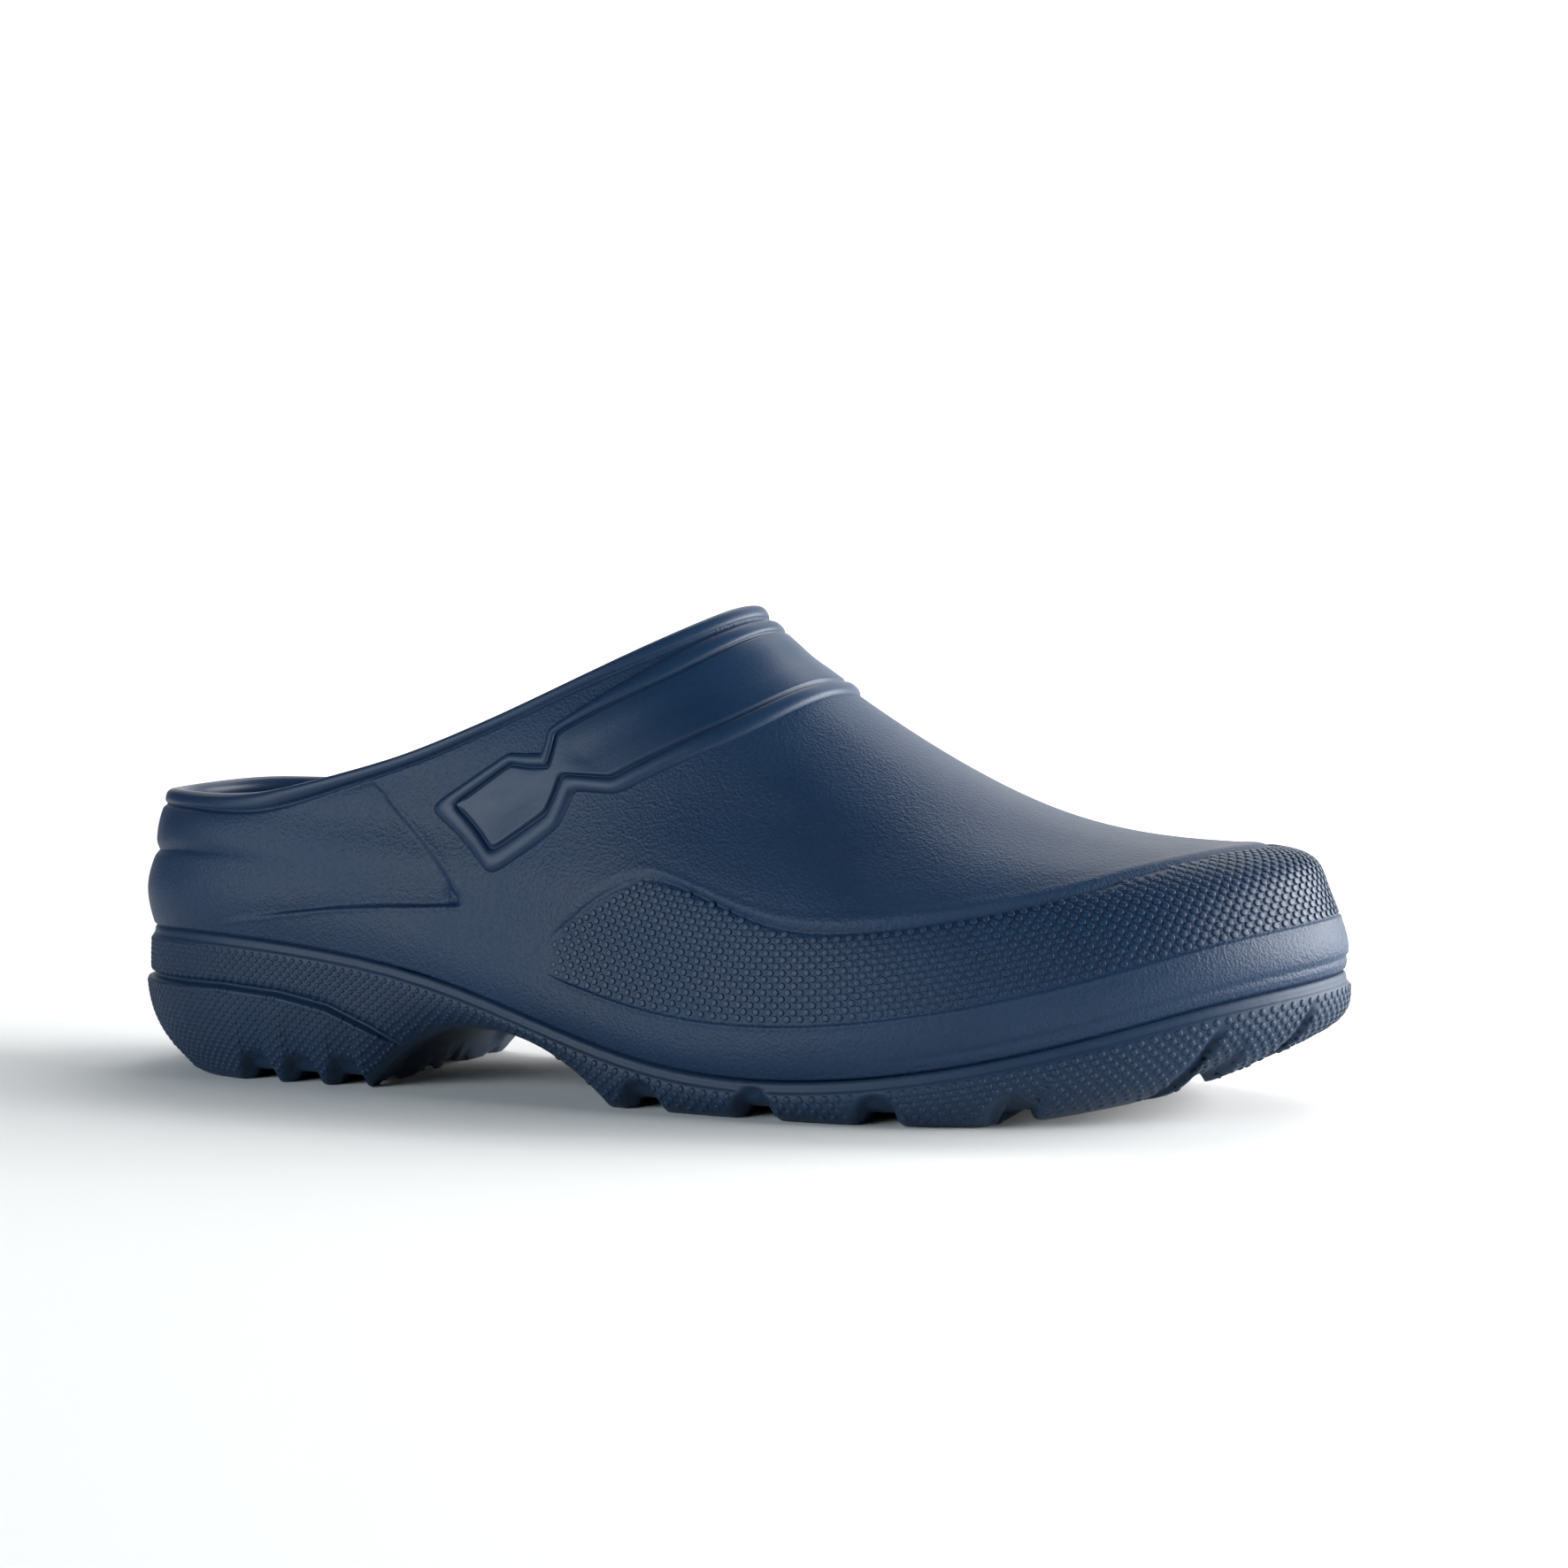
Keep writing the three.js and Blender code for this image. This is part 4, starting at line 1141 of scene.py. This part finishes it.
def pressed_foam(name, tones):
    """Closed-cell EVA foam, die-cut: dull, with fine open pores at its skin."""
    material = bpy.data.materials.new(name)
    material.use_nodes = True
    tree = material.node_tree
    tree.nodes.clear()
    where = add_node(tree, "ShaderNodeTexCoord").outputs["Object"]
    cloud = add_node(tree, "ShaderNodeTexNoise", {
        "Vector": where, "Scale": per_metre(12), "Detail": 5.0}).outputs["Fac"]
    tone = add_node(tree, "ShaderNodeValToRGB", {"Fac": cloud})
    for stop, place, colour in zip(tone.color_ramp.elements, (0.35, 0.7), tones):
        stop.position = place
        stop.color = srgb(colour)
    pores = add_node(tree, "ShaderNodeTexVoronoi", {
        "Vector": where, "Scale": per_metre(0.5)}).outputs["Distance"]
    bump = add_node(tree, "ShaderNodeBump", {
        "Height": pores, "Strength": 0.8, "Distance": 0.08 * MM}).outputs["Normal"]
    shader = add_node(tree, "ShaderNodeBsdfPrincipled", {
        "Base Color": tone.outputs["Color"], "Roughness": 0.88, "Normal": bump, "IOR": 1.45})
    add_node(tree, "ShaderNodeOutputMaterial", {"Surface": shader.outputs["BSDF"]})
    return material


pad = add_piece("insole_pad", np.array(pad_rings), pad_faces,
                [pressed_foam("eva_foam_pressed", ("#33383e", "#3f454c"))])
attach(pad, "insole_pad")
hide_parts("insole")

# ---- Insole cover: a thin knitted polyester cloth, glued over the top of the pad and cut a
# little inside its edge, with a line of stitching round it.

COVER_THICKNESS = 1.2
# Rings of the cloth's underside and top: distance in from the pad's edge, share of the raised
# rim, and for the top how far it dips, at its cut edge and along the stitching.
COVER_FOOT = [(16, 0), (9, 0.33), (3, 0.88), (1.8, 0.96)]
COVER_TOP = [(1.75, 0.96, -0.9), (1.7, 0.96, -0.5), (1.75, 0.96, -0.2), (1.95, 0.95, -0.04),
             (2.4, 0.93, 0), (3, 0.88, 0), (4, 0.78, 0), (4.4, 0.73, -0.12), (4.7, 0.7, -0.25),
             (5, 0.66, -0.12), (5.4, 0.62, 0), (7, 0.48, 0), (9, 0.33, 0), (12, 0.13, 0),
             (16, 0, 0)]
cover_rings = [pad_ring(inset, lambda x: insole_top(x, edge) + SEAT_GAP)
               for inset, edge in COVER_FOOT]
cover_rings += [pad_ring(inset, lambda x: insole_top(x, edge) + SEAT_GAP + COVER_THICKNESS + dip)
                for inset, edge, dip in COVER_TOP]
cover_faces = ring_faces(len(cover_rings), PAD_COLUMNS)
cover_faces += ladder_faces(PAD_COLUMNS, 0, upward=False)
cover_faces += ladder_faces(PAD_COLUMNS, (len(cover_rings) - 1) * PAD_COLUMNS, upward=True)


def knitted_cloth(name, tones, gauge_mm):
    """Polyester knit: soft and matt, with ribs of loops and a faint sheen from loose fibre."""
    material = bpy.data.materials.new(name)
    material.use_nodes = True
    tree = material.node_tree
    tree.nodes.clear()
    where = add_node(tree, "ShaderNodeTexCoord").outputs["Object"]
    ribs = [add_node(tree, "ShaderNodeTexWave", {
        "Vector": where, "Scale": per_metre(gauge_mm) * math.pi / 10, "Distortion": 0.6, "Detail": 1.0},
        wave_type="BANDS", bands_direction=axis).outputs["Fac"] for axis in ("X", "Y")]
    loops = add_node(tree, "ShaderNodeMath", {0: ribs[0], 1: ribs[1]},
                     operation="MULTIPLY").outputs["Value"]
    tone = add_node(tree, "ShaderNodeValToRGB", {"Fac": loops})
    for stop, place, colour in zip(tone.color_ramp.elements, (0.1, 0.8), tones):
        stop.position = place
        stop.color = srgb(colour)
    bump = add_node(tree, "ShaderNodeBump", {
        "Height": loops, "Strength": 0.9, "Distance": 0.2 * MM}).outputs["Normal"]
    shader = add_node(tree, "ShaderNodeBsdfPrincipled", {
        "Base Color": tone.outputs["Color"], "Roughness": 0.9, "Normal": bump, "Sheen Weight": 0.25,
        "Sheen Roughness": 0.5})
    add_node(tree, "ShaderNodeOutputMaterial", {"Surface": shader.outputs["BSDF"]})
    return material


cover = add_piece("insole_cover_cloth", np.array(cover_rings), cover_faces,
                  [knitted_cloth("polyester_knit", ("#161c26", "#283342"), 1.5)])
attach(cover, "insole_pad")
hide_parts("insole_cover")

# ---- Studio: a pale sweep of paper that curves up behind the shoe, soft boxes off the toe, off
# the heel and above the back, and three more that light the paper, in a dim room.

# In metres, unlike the tables of the shoe.
SWEEP_FRONT = -2.5
SWEEP_BACK = 2.2
SWEEP_WIDTH = 9.0
SWEEP_RADIUS = 1.2
SWEEP_TOP = 5.0
SWEEP_STEPS = 24
profile = [(SWEEP_FRONT, 0.0), (SWEEP_BACK, 0.0)]
for k in range(1, SWEEP_STEPS + 1):
    a = math.radians(90 * k / SWEEP_STEPS)
    profile.append((SWEEP_BACK + SWEEP_RADIUS * math.sin(a), SWEEP_RADIUS * (1 - math.cos(a))))
profile.append((SWEEP_BACK + SWEEP_RADIUS, SWEEP_TOP))
sweep_points = [(side * SWEEP_WIDTH / 2, y, z) for y, z in profile for side in (-1, 1)]
sweep_faces = [(2 * i, 2 * i + 1, 2 * i + 3, 2 * i + 2) for i in range(len(profile) - 1)]
sweep_mesh = bpy.data.meshes.new("paper_sweep")
sweep_mesh.from_pydata(sweep_points, [], sweep_faces)
sweep_mesh.polygons.foreach_set("use_smooth", [True] * len(sweep_mesh.polygons))
sweep = bpy.data.objects.new("paper_sweep", sweep_mesh)
bpy.context.scene.collection.objects.link(sweep)
paper = bpy.data.materials.new("matt_backdrop_paper")
paper.use_nodes = True
paper_shader = paper.node_tree.nodes["Principled BSDF"]
paper_shader.inputs["Base Color"].default_value = srgb("#e2e2e1")
paper_shader.inputs["Roughness"].default_value = 0.95
sweep_mesh.materials.append(paper)


def soft_light(name, place, aim, size, watts, tint):
    """Soft box at a place, turned to the aim."""
    lamp = bpy.data.lights.new(name, "AREA")
    lamp.shape = "RECTANGLE"
    lamp.size, lamp.size_y = size
    lamp.energy = watts
    lamp.color = srgb(tint)[:3]
    holder = bpy.data.objects.new(name, lamp)
    holder.location = place
    holder.rotation_mode = "QUATERNION"
    holder.rotation_quaternion = (Vector(aim) - Vector(place)).to_track_quat("-Z", "Y")
    bpy.context.scene.collection.objects.link(holder)


soft_light("toe_light", (1.26, 0.44, 0.4), (0.12, 0, 0.05), (1.5, 0.8), 62, "#ffffff")
soft_light("heel_light", (-0.8, -1.45, 0.5), (-0.06, 0, 0.05), (1.2, 0.9), 24, "#e8f6ff")
soft_light("back_light", (0.0, 0.8, 1.2), (0.02, 0, 0.06), (1.2, 0.5), 6, "#ffffff")
for x in (-2.6, -0.6, 1.4):
    soft_light("backdrop_light", (x, 1.6, 2.2), (x, 3.4, 0.4), (1.6, 0.8), 56, "#ffffff")

world = bpy.data.worlds.new("dim_room")
bpy.context.scene.world = world
world.use_nodes = True
world.node_tree.nodes["Background"].inputs["Color"].default_value = srgb("#fbfcff")
world.node_tree.nodes["Background"].inputs["Strength"].default_value = 0.05

# ---- Camera: low, off the outer side and a little towards the toe.

CAMERA_TURN = math.radians(20)
CAMERA_RISE = math.radians(1.6)
CAMERA_DISTANCE = 0.6
CAMERA_LENS = 59.8
target = Vector((0.0178, 0.0017, 0.0694))
back = Vector((math.sin(CAMERA_TURN) * math.cos(CAMERA_RISE),
               -math.cos(CAMERA_TURN) * math.cos(CAMERA_RISE), math.sin(CAMERA_RISE)))
camera_data = bpy.data.cameras.new("camera")
camera_data.lens = CAMERA_LENS
camera_data.sensor_width = 36
camera = bpy.data.objects.new("camera", camera_data)
camera.location = target + back * CAMERA_DISTANCE
camera.rotation_mode = "QUATERNION"
camera.rotation_quaternion = (-back).to_track_quat("-Z", "Y")
bpy.context.scene.collection.objects.link(camera)
bpy.context.scene.camera = camera
bpy.context.scene.view_settings.view_transform = "Standard"
